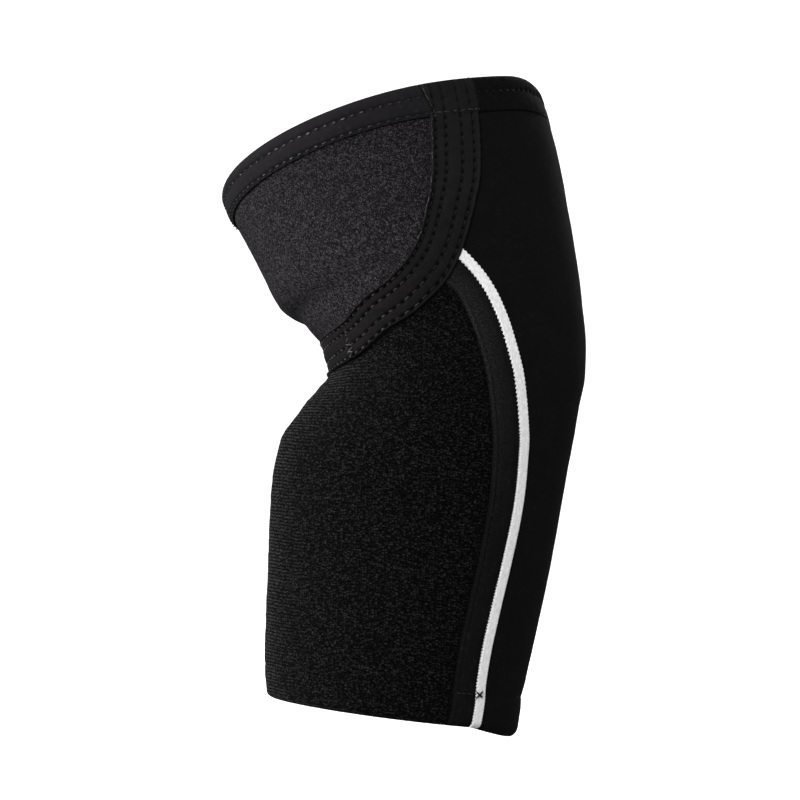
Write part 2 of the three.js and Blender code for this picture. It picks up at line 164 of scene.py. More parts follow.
def unit(v):
    """The same direction, one long."""
    return v / np.linalg.norm(v, axis=-1, keepdims=True)


def axis_at(along):
    """Two straight limbs joined by a parabola over the bend's length: the point is so far down
    the forearm plus so far up the upper arm, each a square of the share of the bend."""
    half = BEND_LENGTH / 2
    t = np.clip((along + half) / BEND_LENGTH, 0, 1)
    down = np.where(along < -half, -along, half * (1 - t) ** 2)[..., None]
    up = np.where(along > half, along, half * t**2)[..., None]
    return down * FOREARM_LIMB + up * UPPER_LIMB, unit(
        (t[..., None] - 1) * FOREARM_LIMB + t[..., None] * UPPER_LIMB)


def skin(turn, along):
    """The surface: two half ellipses in the plane square to the axis. The cosine of half turns
    times the reach to the front or back, and the sine times the reach to the side."""
    turn, along = np.broadcast_arrays(np.asarray(turn, float), np.asarray(along, float))
    point, tangent = axis_at(along)
    far = unit(np.array([0.0, 1, 0]) - tangent * tangent[..., 1:2])
    back = np.cross(far, tangent)
    rim = np.where(along < 0, BOTTOM_WIDTH, TOP_WIDTH)
    share = np.where(along < 0, -along / FOREARM_LENGTH, along / UPPER_LENGTH)
    width = ELBOW_WIDTH + (rim - ELBOW_WIDTH) * share
    x, y = np.cos(np.pi * turn), np.sin(np.pi * turn)
    reach = np.where(x > 0, back_reach(along), front_reach(along))
    return (point + back * (reach * width * x)[..., None]
            - far * (side_reach(along) * width * y)[..., None])


def slopes(turn, along, steps=(SMALL, SMALL)):
    """How the skin moves for one turn and for one millimetre along, from a step either way."""
    by_turn, by_along = steps
    return ((skin(turn + by_turn, along) - skin(turn - by_turn, along)) / (2 * by_turn),
            (skin(turn, along + by_along) - skin(turn, along - by_along)) / (2 * by_along))


def outward(turn, along):
    """The direction square to the skin, out of the arm."""
    by_turn, by_along = slopes(turn, along)
    return unit(np.cross(by_along, by_turn))


def cloth(turn, along, offset):
    """A point that stands off the skin by an offset in millimetres."""
    turn, along, offset = np.broadcast_arrays(turn, along, offset)
    return skin(turn, along) + outward(turn, along) * offset[..., None]


def beside(turn, along, next_turn, next_along, distance, steps=(SMALL, SMALL)):
    """The address a distance to one side of a line on the skin, given the next address on it.

    The side direction is square to the line and to the outward direction, and its parts by
    turn and by along solve a pair of equations. More turn is above 0 where the line goes up."""
    by_turn, by_along = slopes(turn, along, steps)
    ahead = skin(next_turn, next_along) - skin(turn, along)
    side = unit(np.cross(np.cross(by_along, by_turn), ahead))
    tt, ta, aa = ((a * b).sum(-1) for a, b in
                  ((by_turn, by_turn), (by_turn, by_along), (by_along, by_along)))
    st, sa = (side * by_turn).sum(-1), (side * by_along).sum(-1)
    size = distance / (tt * aa - ta * ta)
    return turn + (st * aa - sa * ta) * size, along + (sa * tt - st * ta) * size


def off_line(turn_of, along, distance):
    """The address a distance to one side of a line that has one turn at each height."""
    return beside(turn_of(along), along, turn_of(along + SMALL), along + SMALL, distance)


print("elbow at", skin(0.0, 0.0).round(1), "crook at", skin(1.0, 0.0).round(1))


# %% The lines that the panels share
near_half = np.column_stack([BAND_LINE[:, 0], along_of(BAND_LINE[:, 1]),
                             BAND_LINE[:, 2] * BAND_WIDTH])
far_half = near_half[-2::-1] * (-1, 1, 1) + (2, 0, 0)
band_knots = np.vstack([near_half, far_half])


def band_at(share):
    """The band's middle from the near rim (0) by the crook (0.5) to the far rim (1): turn, along
    and width. Between two knots runs a cubic whose slopes are half the step across each knot."""
    knots = np.vstack([2 * band_knots[0] - band_knots[1], band_knots,
                       2 * band_knots[-1] - band_knots[-2]])
    place = np.asarray(share, float) * (len(band_knots) - 1)
    i = np.clip(np.floor(place).astype(int), 0, len(band_knots) - 2)
    t = (place - i)[..., None]
    a, b, c, d = (knots[i + k] for k in range(4))
    m, n = (c - a) / 2, (d - b) / 2
    return b + m * t + (3 * (c - b) - 2 * m - n) * t**2 + (2 * (b - c) + m + n) * t**3


def on_band(share, across):
    """The address at a share across the band, square to its line. The line's direction and the
    skin's slopes are taken over a few millimetres: both change at once where the arm's bend
    ends, and a fine mesh would fold there."""
    here, before, after = (band_at(share + step) for step in (0, -0.01, 0.01))
    ahead = here + after - before
    return beside(here[..., 0], here[..., 1], ahead[..., 0], ahead[..., 1],
                  (across - 0.5) * here[..., 2], steps=(0.03, 4.0))


sample_shares = np.linspace(0, 0.5, 4001)
band_samples = band_at(sample_shares)


def band_turn_at(along):
    """The turn of the band's near half at a height on the arm."""
    return np.interp(along, band_samples[::-1, 1], band_samples[::-1, 0])


def band_share_at(along):
    """The share of the band's near half at a height on the arm."""
    return np.interp(along, band_samples[::-1, 1], sample_shares[::-1])


piping_top, strip_top = band_at(PIPING_LEAVES_BAND), band_at(STRIP_LEAVES_BAND)
piping_rows = along_of(PIPING_LINE[:, 0])
piping_turn = smooth_column(np.append(piping_rows, piping_top[1]),
                            np.append(PIPING_LINE[:, 1], piping_top[0]))
front_turn, front_along = off_line(piping_turn, piping_rows, PIPING_LINE[:, 2] * STRIP_WIDTH)
below = front_along <= strip_top[1]
strip_turn = smooth_column(np.append(front_along[below], strip_top[1]),
                           np.append(front_turn[below], strip_top[0]))
print("piping leaves the band at", piping_top.round(2), "and the strip at", strip_top.round(2))

# %% [markdown]
# ## How a cloth is put into a mesh
# A panel could be one sheet with a Solidify modifier, but its hems and edges need their own
# round. So each cloth is a closed shell: a fine outer face, a coarser inner face, and side
# walls where it meets its neighbour. Its UV map is in millimetres of cloth, so that a knit
# keeps its scale on every panel.


# %% Shells
def added(name, data):
    """A new object in the scene."""
    made = bpy.data.objects.new(name, data)
    bpy.context.scene.collection.objects.link(made)
    return made


def write_points(mesh, name, values):
    """A number at each point of a mesh, for its material to read."""
    data = mesh.attributes.new(name, "FLOAT", "POINT").data
    data.foreach_set("value", np.ravel(values).astype(np.float32))


def signed_volume(points, faces):
    """The volume inside flat fans of the faces: a sixth of the sum of each triangle's
    corner times the cross product of its other two."""
    total = 0.0
    for k in range(1, faces.shape[1] - 1):
        a, b, c = (points[faces[:, n]] for n in (0, k, k + 1))
        total += (a * np.cross(b, c)).sum() / 6
    return total


def shell(name, outer, inner, outer_uv, inner_uv, finishes):
    """A closed shell from an outer and an inner grid with the same rows.

    Each row's ring runs along the outer face and back along the inner one. The rings are
    joined by four-sided faces, and the first and last ring are closed by a face each."""
    points = np.concatenate([outer, inner[:, ::-1]], axis=1)
    uv = np.concatenate([outer_uv, inner_uv[:, ::-1], outer_uv[:, :1]], axis=1)
    rows, ring = points.shape[:2]
    i, j = np.meshgrid(np.arange(rows - 1), np.arange(ring), indexing="ij")
    row = np.stack([i, i, i + 1, i + 1], axis=-1).reshape(-1, 4)
    place = np.stack([j, j + 1, j + 1, j], axis=-1).reshape(-1, 4)
    quads = row * ring + place % ring
    caps = np.array([np.arange(ring)[::-1], np.arange(ring) + (rows - 1) * ring])
    flat = points.reshape(-1, 3)
    if signed_volume(flat, quads) + signed_volume(flat, caps) < 0:
        row, place, quads, caps = row[:, ::-1], place[:, ::-1], quads[:, ::-1], caps[:, ::-1]
    mesh = bpy.data.meshes.new(name)
    mesh.from_pydata(flat * MM, [], quads.tolist() + caps.tolist())
    cap_uv = uv[:, :-1].reshape(-1, 2)[caps].reshape(-1, 2)
    corner_uv = np.concatenate([uv[row, place].reshape(-1, 2), cap_uv])
    mesh.uv_layers.new(name="cloth").data.foreach_set("uv", corner_uv.ravel().astype(np.float32))
    lining = np.append((j.ravel() > outer.shape[1] - 1) & (j.ravel() < ring - 1), [False, False])
    mesh.polygons.foreach_set("material_index", lining.astype(np.int32))
    mesh.polygons.foreach_set("use_smooth", np.ones(len(mesh.polygons), bool))
    for finish in finishes:
        mesh.materials.append(finish)
    mesh.update()
    print(f"{name}: {len(mesh.polygons)} faces")
    return added(name, mesh)


def running(points):
    """How far along a line each of its points is from the first."""
    return np.pad(np.cumsum(np.linalg.norm(np.diff(points, axis=0), axis=1)), (1, 0))


def measured(grid):
    """How far each point is along its row from the first column, and up its column from the
    first row: running sums of the distances between neighbours."""
    right = np.linalg.norm(np.diff(grid, axis=1), axis=2)
    up = np.linalg.norm(np.diff(grid, axis=0), axis=2)
    return (np.pad(np.cumsum(right, axis=1), ((0, 0), (1, 0))),
            np.pad(np.cumsum(up, axis=0), ((1, 0), (0, 0))))


def grid_area(grid):
    """Half the length of the cross product of each cell's diagonals, in square metres."""
    across = grid[1:, 1:] - grid[:-1, :-1]
    other = grid[1:, :-1] - grid[:-1, 1:]
    return float(np.linalg.norm(np.cross(across, other), axis=2).sum() / 2) * MM**2


def flat_size(grid):
    """The longest row and the longest column of a grid, in metres: its cut's width and length."""
    x, y = measured(grid)
    return float(x[:, -1].max()) * MM, float(y[-1].max()) * MM


# %% Shapes used in many reliefs
def bump(x, centre, reach):
    """A smooth hill one high: e to the minus square of the distance in reaches."""
    return np.exp(-(((x - centre) / reach) ** 2))


def smoothstep(x, start, end):
    """0 before the start, 1 after the end, and three squares less two cubes between."""
    t = np.clip((x - start) / (end - start), 0, 1)
    return t * t * (3 - 2 * t)


def rounded(x, radius):
    """A quarter circle's height over a distance from an edge: 0 there, 1 from the radius on."""
    return np.sqrt(np.clip(1 - np.clip(1 - x / radius, 0, 1) ** 2, 0.002, 1))


def patchy(x, y, size, seed):
    """Smooth noise from -1 to 1: random heights on the corners of square cells of a size,
    blended by smoothstep inside each cell."""
    table = np.random.default_rng(seed).uniform(-1, 1, (97, 89))
    x, y = x / size + 40, y / size + 40
    i, j = np.floor(x).astype(int), np.floor(y).astype(int)
    s, t = (f * f * (3 - 2 * f) for f in (x - i, y - j))
    at = lambda a, b: table[a % 97, b % 89]
    return ((at(i, j) * (1 - s) + at(i + 1, j) * s) * (1 - t)
            + (at(i, j + 1) * (1 - s) + at(i + 1, j + 1) * s) * t)


def heights_above_rim(step, length):
    """A panel's rows as heights above the lower rim: dense round the fold, even to just past the
    hem, then in even shares of what is left of the panel's length."""
    fold = FOLD_RADIUS * (1 - np.cos(np.linspace(0, np.pi / 2, 8)))
    hem_top = BOTTOM_HEM_HEIGHT + HEM_MARGIN
    hem = np.linspace(FOLD_RADIUS, hem_top, round((hem_top - FOLD_RADIUS) / step))
    above = np.linspace(0, 1, round((FOREARM_LENGTH - BOTTOM_HEM_HEIGHT) / step))
    fixed = np.concatenate([fold, hem[1:], np.full(len(above) - 1, hem[-1])])
    share = np.concatenate([np.zeros(len(fold) + len(hem) - 1), above[1:]])
    return fixed[:, None] + share[:, None] * (length - BOTTOM_HEM_HEIGHT - HEM_MARGIN)


# %% [markdown]
# ## Finishes
# The cloths differ in how their yarn catches light. The charcoal knit is a mixture of dark and
# pale fibre, so it is speckled. The terry is a pile of tiny loops, in courses round the arm.
# Jersey and bindings are fine and smooth with a slight bloom, and the tape is a white twill.
# Their patterns are node groups on the cloth's own millimetre UV map, used by each material
# with its own sizes.

# %% Node helpers
def socket(group, name, kind, way, value=None):
    """A named input or output of a node group, with its default value."""
    made = group.interface.new_socket(name=name, in_out=way, socket_type=kind)
    if value is not None:
        made.default_value = value
    return made


class Nodes:
    """Adds nodes to a tree, each with its inputs given by name or number."""

    def __init__(self, tree):
        self.tree = tree

    def add(self, kind, inputs=(), **settings):
        node = self.tree.nodes.new(kind)
        for key, value in settings.items():
            setattr(node, key, value)
        for key, value in dict(inputs).items():
            if isinstance(value, bpy.types.NodeSocket):
                self.link(value, node.inputs[key])
            else:
                node.inputs[key].default_value = value
        return node

    def math(self, operation, *values):
        return self.add("ShaderNodeMath", enumerate(values), operation=operation).outputs[0]

    def noise(self, place, scale, detail):
        return self.add("ShaderNodeTexNoise", {
            "Vector": place, "Scale": scale, "Detail": detail}).outputs["Fac"]

    def parts(self, vector):
        return self.add("ShaderNodeSeparateXYZ", {0: vector}).outputs

    def point_value(self, name):
        return self.add("ShaderNodeAttribute", attribute_name=name).outputs["Fac"]

    def link(self, value, target):
        self.tree.links.new(value, target)


def new_group(name, inputs, outputs):
    """An empty node group with float inputs and outputs, and a vector input for the place."""
    group = bpy.data.node_groups.new(name, "ShaderNodeTree")
    socket(group, "Place", "NodeSocketVector", "INPUT")
    for key, value in inputs:
        socket(group, key, "NodeSocketFloat", "INPUT", value)
    for key in outputs:
        socket(group, key, "NodeSocketFloat", "OUTPUT")
    nodes = Nodes(group)
    return group, nodes, nodes.add("NodeGroupInput"), nodes.add("NodeGroupOutput")


def stretched(nodes, place, across, up):
    """The place divided by a width across and a height up, so that one cell is one unit."""
    scale = nodes.add("ShaderNodeCombineXYZ", {"X": across, "Y": up, "Z": 1.0}).outputs[0]
    return nodes.add("ShaderNodeVectorMath", {0: place, 1: scale}, operation="DIVIDE").outputs[0]


def warped(nodes, place, scale, detail, reach):
    """The place moved by smooth noise, by up to a reach in millimetres each way."""
    warp = nodes.add("ShaderNodeTexNoise", {"Vector": place, "Scale": scale, "Detail": detail})
    return nodes.add("ShaderNodeVectorMath", {
        0: warp.outputs["Color"], 1: (reach,) * 3, 2: place}, operation="MULTIPLY_ADD").outputs[0]


# %% The knit's loops
knit_loops, n, given, out = new_group(
    "knit loops", [("Wale", 0.6), ("Course", 0.5), ("Lean", 0.0)], ["Height"])
moved = warped(n, given.outputs["Place"], 0.35, 2.0, 0.5)
cell = n.parts(stretched(n, moved, given.outputs["Wale"], given.outputs["Course"]))
leaned = n.math("MULTIPLY_ADD", cell["Y"], given.outputs["Lean"], cell["X"])
side = n.math("ABSOLUTE", n.math("SUBTRACT", n.math("FRACT", leaned), 0.5))
yarn = n.math("ADD", cell["Y"], n.math("MULTIPLY", side, 1.2))
wave = n.math("ABSOLUTE", n.math("SINE", n.math("MULTIPLY", yarn, math.pi)))
n.link(n.math("MULTIPLY", wave, n.math("SUBTRACT", 1.0, n.math("MULTIPLY", side, 1.3))),
       out.inputs["Height"])
print("knit loops:", len(knit_loops.nodes), "nodes")

# %% The pile's loops
pile_loops, n, given, out = new_group(
    "pile loops", [("Loop", 0.8), ("Course", 0.7)], ["Height", "Painted Crown Light", "Row"])
moved = warped(n, given.outputs["Place"], 0.5, 3.0, 0.9)
cells = stretched(n, moved, given.outputs["Loop"], given.outputs["Course"])
loop = n.add("ShaderNodeTexVoronoi", {"Vector": cells, "Scale": 1.0, "Randomness": 0.9})
course = n.math("ABSOLUTE", n.math("SINE", n.math("MULTIPLY", n.parts(cells)["Y"], math.pi / 2)))
n.link(course, out.inputs["Row"])
mound = n.math("SUBTRACT", 1.0, loop.outputs["Distance"])
n.link(n.math("MULTIPLY_ADD", course, 0.3, mound), out.inputs["Height"])
# Each loop's crown is painted paler and the gaps between loops darker, by a random amount for each
# loop: a painted highlight and painted shade
own = n.parts(loop.outputs["Color"])["X"]
bright = n.math("MULTIPLY_ADD", n.math("POWER", own, 1.7), 0.85, 0.3)
n.link(n.math("MULTIPLY", bright, n.math("POWER", mound, 2.2)), out.inputs["Painted Crown Light"])
print("pile loops:", len(pile_loops.nodes), "nodes")

# %% Speckle and twill
speckle, n, given, out = new_group("fibre speckle", [("Size", 0.5), ("Sharpness", 3.0)], ["Pale"])
grain = n.add("ShaderNodeTexVoronoi", {
    "Vector": stretched(n, given.outputs["Place"], given.outputs["Size"], given.outputs["Size"]),
    "Scale": 1.0, "Randomness": 1.0})
shade = n.parts(grain.outputs["Color"])["X"]
n.link(n.math("POWER", shade, given.outputs["Sharpness"]), out.inputs["Pale"])

twill_ribs, n, given, out = new_group("twill ribs", [("Rib", 0.5), ("Slope", 1.0)], ["Height"])
place = n.parts(given.outputs["Place"])
slanted = n.math("MULTIPLY_ADD", place["Y"], given.outputs["Slope"], place["X"])
n.link(n.math("ABSOLUTE", n.math("SINE", n.math(
    "DIVIDE", n.math("MULTIPLY", slanted, math.pi), given.outputs["Rib"]))), out.inputs["Height"])
print("speckle and twill made")


# %% Putting a finish together
def finish(name, roughness, sheen, sheen_roughness, specular):
    """A new material's tree, shader and millimetre place, with its plain values on the shader."""
    made = bpy.data.materials.new(name)
    made.use_nodes = True
    nodes = Nodes(made.node_tree)
    shader = made.node_tree.nodes["Principled BSDF"]
    for key, value in (("Roughness", roughness), ("Sheen Weight", sheen),
                       ("Sheen Roughness", sheen_roughness), ("Specular IOR Level", specular)):
        shader.inputs[key].default_value = value
    return made, nodes, shader, nodes.add("ShaderNodeUVMap", uv_map="cloth").outputs[0]


def use(nodes, group, place, **inputs):
    """A node group placed in a material, with the millimetre place and its own values."""
    return nodes.add("ShaderNodeGroup", {"Place": place, **inputs}, node_tree=group).outputs


def blend(nodes, factor, low, high):
    """One colour where the factor is 0, another where it is 1."""
    node = nodes.add("ShaderNodeMix", data_type="RGBA")
    for key, value in (("Factor", factor), ("A", low), ("B", high)):
        target = next(s for s in node.inputs if s.name == key and s.enabled)
        if isinstance(value, bpy.types.NodeSocket):
            nodes.link(value, target)
        else:
            target.default_value = (*value, 1) if key != "Factor" else value
    return next(s for s in node.outputs if s.enabled)


def raise_cloth(nodes, shader, height, distance):
    """Bumps the shading by a height pattern, where a height of 1 stands a distance in mm."""
    made = nodes.add("ShaderNodeBump", {"Height": height, "Distance": distance * MM})
    nodes.link(made.outputs[0], shader.inputs["Normal"])


def tint(nodes, shader, colour):
    nodes.link(colour, shader.inputs["Base Color"])


# %% Charcoal knit and black terry
charcoal_knit, n, shader, mm = finish("charcoal knit", 0.9, 0.01, 0.35, 0.02)
specks = use(n, speckle, mm, Size=0.4, Sharpness=2.6)["Pale"]
loops = use(n, knit_loops, mm, Wale=0.8, Course=0.62, Lean=0.3)["Height"]
mottle = n.noise(mm, 0.16, 3.0)
ground = blend(n, mottle, (0.0036, 0.0034, 0.0038), (0.0066, 0.006, 0.007))
# The pale fibre specks are the yarn's own colour, dimmed to half in the gaps between the loops as
# painted shade
specks_painted_shaded_between_loops = n.math("MULTIPLY", specks, n.math("MULTIPLY_ADD", loops, 0.5, 0.5))
tint(n, shader, blend(n, specks_painted_shaded_between_loops, ground, (0.058, 0.0525, 0.06)))
raise_cloth(n, shader, n.math("MULTIPLY_ADD", specks, 0.5, loops), 0.16)

black_terry, n, shader, mm = finish("black terry", 0.95, 0.012, 0.3, 0.02)
pile = use(n, pile_loops, mm, Loop=1.0, Course=0.58)
# Facing paints pale courses into the base colour where the cloth turns from the camera, a painted
# sheen that follows the camera, so a bake can't keep them
facing = n.add("ShaderNodeLayerWeight", {"Blend": 0.5}).outputs["Facing"]
glancing_painted_sheen = n.math("MULTIPLY", n.math("POWER", facing, 2.3), n.math("SUBTRACT", pile["Row"], 0.6))
dashes = n.noise(stretched(n, mm, 1.5, 0.75), 1.0, 2.0)
broken_painted_sheen = n.math("MULTIPLY", glancing_painted_sheen, n.math("MULTIPLY_ADD", dashes, 32.0, -12.4))
# The painted crown highlights, made stronger and cut to nothing in the painted shade between the
# loops
painted_crown_highlights = n.math("MULTIPLY_ADD", pile["Painted Crown Light"], 1.5, -0.11)
# The painted sheen and the painted crown highlights together, never below 0
tips = n.math("MAXIMUM", n.math("ADD", broken_painted_sheen, painted_crown_highlights), 0.0)
tint(n, shader, blend(n, tips, (0.0012, 0.0012, 0.0012), (0.0225, 0.0225, 0.0225)))
raise_cloth(n, shader, pile["Height"], 0.4)


# %% Jerseys and bindings
def smooth_cloth(name, dark, pale, sheen, wale, depth, roughness=0.75, specular=0.04, painted_sheen_grey=0.0,
                 over=None):
    """A fine even cloth: a close knit, a slow change of tone and a few paler fibres. It may have a
    painted sheen towards a side strip's top and front edge, broken up by a fuzzy noise, or take
    another tone where it lies over the band."""
    made, n, shader, mm = finish(name, roughness, sheen, 0.4, specular)
    loops = use(n, knit_loops, mm, Wale=wale, Course=wale * 0.8, Lean=0.0)["Height"]
    specks = use(n, speckle, mm, Size=0.9, Sharpness=14.0)["Pale"]
    slow = n.noise(mm, 0.09, 4.0)
    tone = n.math("MULTIPLY_ADD", specks, 0.8, n.math("MULTIPLY", slow, 0.6))
    colour = blend(n, tone, dark, pale)
    if painted_sheen_grey:
        # Painted sheen: paler towards the strip's top and its front edge, broken up by a fuzzy
        # noise
        place = n.parts(mm)
        painted_sheen_noise = n.add("ShaderNodeTexNoise", {
            "Vector": mm, "Scale": 1.5, "Detail": 6.0, "Roughness": 0.8})
        painted_sheen_noise = n.math("MULTIPLY_ADD", painted_sheen_noise.outputs["Fac"], 6.0, -2.7)
        upwards = n.math("MULTIPLY_ADD", place["Y"], 0.012, -0.75)
        frontwards = n.math("MULTIPLY_ADD", place["X"], 0.1, 0.5)
        painted_sheen_mask = n.math("MULTIPLY", n.math("MINIMUM", n.math("MAXIMUM", frontwards, 0.2), 1.0),
                      n.math("MINIMUM", n.math("MAXIMUM", upwards, 0.1), 1.0))
        painted_sheen_mask = n.math("MULTIPLY", painted_sheen_mask, n.math("MAXIMUM", painted_sheen_noise, 0.0))
        colour = blend(n, painted_sheen_mask, colour, (painted_sheen_grey,) * 3)
    if over:
        colour = blend(n, n.point_value("over_band"), colour, blend(n, slow, *over))
    tint(n, shader, colour)
    raise_cloth(n, shader, loops, depth)
    return made


black_jersey = smooth_cloth("black jersey", (0.0033,) * 3, (0.0061,) * 3, 0.002, 0.45, 0.05,
                            specular=0.015)
strip_jersey = smooth_cloth("strip jersey", (0.003,) * 3, (0.0076,) * 3, 0.004, 0.5, 0.06,
                            specular=0.02, painted_sheen_grey=0.034)
charcoal_binding = smooth_cloth("charcoal binding", (0.0081, 0.0075, 0.0083),
                                (0.0145, 0.0132, 0.0148), 0.008, 0.4, 0.05, specular=0.02)
black_binding = smooth_cloth("black binding", (0.0028,) * 3, (0.0054,) * 3, 0.002, 0.4, 0.05,
                             specular=0.015, over=((0.006,) * 3, (0.0115,) * 3))
lining = smooth_cloth("lining jersey", (0.008,) * 3, (0.014,) * 3, 0.02, 0.6, 0.08, 0.9)

# %% The band's jersey, a little darker towards the crook
band_jersey, n, shader, mm = finish("band jersey", 0.75, 0.006, 0.4, 0.02)
loops = use(n, knit_loops, mm, Wale=0.45, Course=0.38, Lean=0.0)["Height"]
slow = n.noise(mm, 0.2, 3.0)
upper = blend(n, slow, (0.006, 0.0059, 0.006), (0.0115, 0.0113, 0.0115))
lower = blend(n, slow, (0.0044, 0.004, 0.0042), (0.0086, 0.0077, 0.0084))
yarn = blend(n, n.point_value("crookward"), upper, lower)
# The stitch hollows are painted near black, a painted shade in the hollows
tint(n, shader, blend(n, n.point_value("hole_painted_shade"), yarn, (0.0008,) * 3))
raise_cloth(n, shader, loops, 0.05)

# %% White twill tape and threads
white_twill, n, shader, mm = finish("white twill", 0.8, 0.05, 0.4, 0.2)
ribs = use(n, twill_ribs, mm, Rib=0.8, Slope=0.45)["Height"]
grain = n.noise(stretched(n, mm, 0.7, 1.8), 1.0, 3.0)
ground = blend(n, n.math("MULTIPLY_ADD", grain, 3.0, -1.0), (0.63, 0.63, 0.63), (0.84, 0.84, 0.835))
# The twill's grooves are painted greyer than its ribs: painted shade between the ribs
tint(n, shader, blend(n, n.math("MULTIPLY_ADD", ribs, -0.3, 0.3), ground, (0.5, 0.5, 0.5)))
raise_cloth(n, shader, ribs, 0.06)

thread, n, shader, _ = finish("sewing thread", 0.6, 0.03, 0.4, 0.15)
pale = n.point_value("pale")
place = n.add("ShaderNodeTexCoord").outputs["Object"]
strands = n.add("ShaderNodeTexWave", {"Vector": place, "Scale": 2200.0, "Distortion": 1.0},
                wave_type="BANDS", bands_direction="DIAGONAL").outputs["Fac"]
tint(n, shader, blend(n, pale, (0.003, 0.003, 0.003), (0.34, 0.32, 0.33)))
raise_cloth(n, shader, strands, 0.08)
print("finishes:", ", ".join(m.name for m in bpy.data.materials))


# %% [markdown]
# ## The panels
# A panel's border lies under the band, the tape or the hem that covers its seam, so the panels
# meet edge to edge. The lower hem is the panel's own end, turned in and stitched 12 mm up.


# %% Building a panel
pieces = {}


def stand_in(name, made, node, grid, flat):
    """Puts a cloth on the part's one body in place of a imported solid, and keeps its flat size."""
    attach(made, "root")
    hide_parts(node)
    pieces[name] = {"object": made, "flat": flat, "area": grid_area(grid)}


def lerp(a, b, t):
    return a + (b - a) * t


def depth_above_rim(height):
    """The inner face: one wall deep, and deeper by the turned hem below the hem's edge."""
    below = 1 - smoothstep(height, BOTTOM_HEM_HEIGHT - 0.3, BOTTOM_HEM_HEIGHT + 0.5)
    return -WALL - BOTTOM_HEM_TURN * below


def rim_fold(height, outer, inner):
    """Closes the two faces into a round fold at the lower rim: both move to the middle of the
    thickness by a quarter circle over the fold's radius."""
    middle, share = (outer + inner) / 2, rounded(height, FOLD_RADIUS)
    return middle + (outer - middle) * share, middle + (inner - middle) * share


def panel(name, node, turn, along, outer, inner, finishes, even_rows=False):
    """A shell over addresses on the skin, whose inner face has every fourth of its columns.
    Where its rows are even, each has one height on the UV map, its middle column's."""
    face = cloth(turn, along, outer)
    x, y = measured(face)
    if even_rows:
        y = np.repeat(y[:, x.shape[1] // 2, None], x.shape[1], axis=1)
    uv = np.stack([x - x[:, -1:] / 2, y], axis=-1)
    back = cloth(turn[:, ::4], along[:, ::4], inner[:, ::4])
    made = shell(name, face, back, uv, uv[:, ::4], finishes)
    stand_in(name, made, node, face, flat_size(face))
    return made


def patch(lower, upper, first, second, v, u):
    """Addresses between four lines: the blend of the lower and upper lines, plus the blend of
    the two side lines, less the blend of the four corners."""
    ends = [f(np.array(float(k))) for f in (lower, upper) for k in (0, 1)]
    u, v = u[..., None], v[..., None]
    across = lerp(lower(u[..., 0]), upper(u[..., 0]), v)
    upwards = lerp(first(v[..., 0]), second(v[..., 0]), u)
    return across + upwards - lerp(lerp(ends[0], ends[1], u), lerp(ends[2], ends[3], u), v)


def on_line(turn_curve, top):
    """A side line that goes up evenly from the lower rim to a top height."""
    def line(v):
        along = lerp(-FOREARM_LENGTH, top, v)
        return np.stack([turn_curve(along), along], axis=-1)
    return line


def mirrored(line):
    return lambda v: line(v) * (-1, 1) + (2, 0)


def under_band(step, u, shares, first, second):
    """Heights above the rim and addresses of a panel that fills what lies between the lower rim,
    the band between two shares of its line, and two side lines."""
    def top(t):
        return band_at(lerp(*shares, t))[..., :2]

    def rim(t):
        return lerp(first(np.array(0.0)), second(np.array(0.0)), t[..., None])

    length = FOREARM_LENGTH + top(u)[..., 1]
    height = heights_above_rim(step, length)
    grid = patch(rim, top, first, second, height / length, u)
    return height, grid[..., 0], grid[..., 1]


def hem_groove(height, depth=0.35):
    """A shallow groove where the lower hem is stitched."""
    return -depth * bump(height, BOTTOM_HEM_HEIGHT, 0.5)


def hem_dip(turn):
    """How far the lower edge of the rim's binding dips over the band's ends."""
    return HEM_DIP * bump(np.minimum(np.abs(turn), 2 - np.abs(turn)), HEM_DIP_TURN, HEM_DIP_REACH)


# %% Forearm terry
side = on_line(strip_turn, strip_top[1])
height, turn, along = under_band(0.56, np.linspace(0, 1, 265)[None, :],
                                 (STRIP_LEAVES_BAND, 1 - STRIP_LEAVES_BAND), side, mirrored(side))
x, y = measured(skin(turn, along))
edge = np.minimum(x, x[:, -1:] - x)
outer = (0.1 + 0.1 * patchy(x, y, 2.6, 1) + 0.08 * patchy(x, y, 1.3, 2)
         - 0.9 * bump(edge, 0, 1.2) + hem_groove(height, 0.25))
outer, inner = rim_fold(height, outer, depth_above_rim(height))
panel("forearm_terry", "forearm_panel", turn, along, outer, inner,
      (black_terry, lining))

# %% Upper front knit
start = float(band_share_at(PANEL_TOP))
v = np.linspace(0, 1, 150)[::-1]
edge_line = band_at(lerp(start, 0.488, 1 - (1 - v) ** 1.5))
u = np.linspace(0, 1, 289)[None, :]
turn = lerp(edge_line[:, :1], 2 - edge_line[:, :1], u)
along = np.repeat(edge_line[:, 1:2], u.shape[1], axis=1)
x, y = measured(skin(turn, along))
from_band = np.minimum(x, x[:, -1:] - x) - edge_line[:, 2:] / 2
below_hem = UPPER_LENGTH - TOP_HEM_HEIGHT - hem_dip(turn) - along
outer = (0.12 * patchy(x, y, 9.0, 3) + 0.1 * patchy(x, y, 3.1, 4)
         - 0.35 * bump(from_band, 0.2, 0.9) - 0.2 * bump(below_hem, 0.3, 0.7))
panel("upper_front_knit", "upper_front_panel", turn, along, outer,
      np.full(outer.shape, -float(WALL)), (charcoal_knit, lining), even_rows=True)


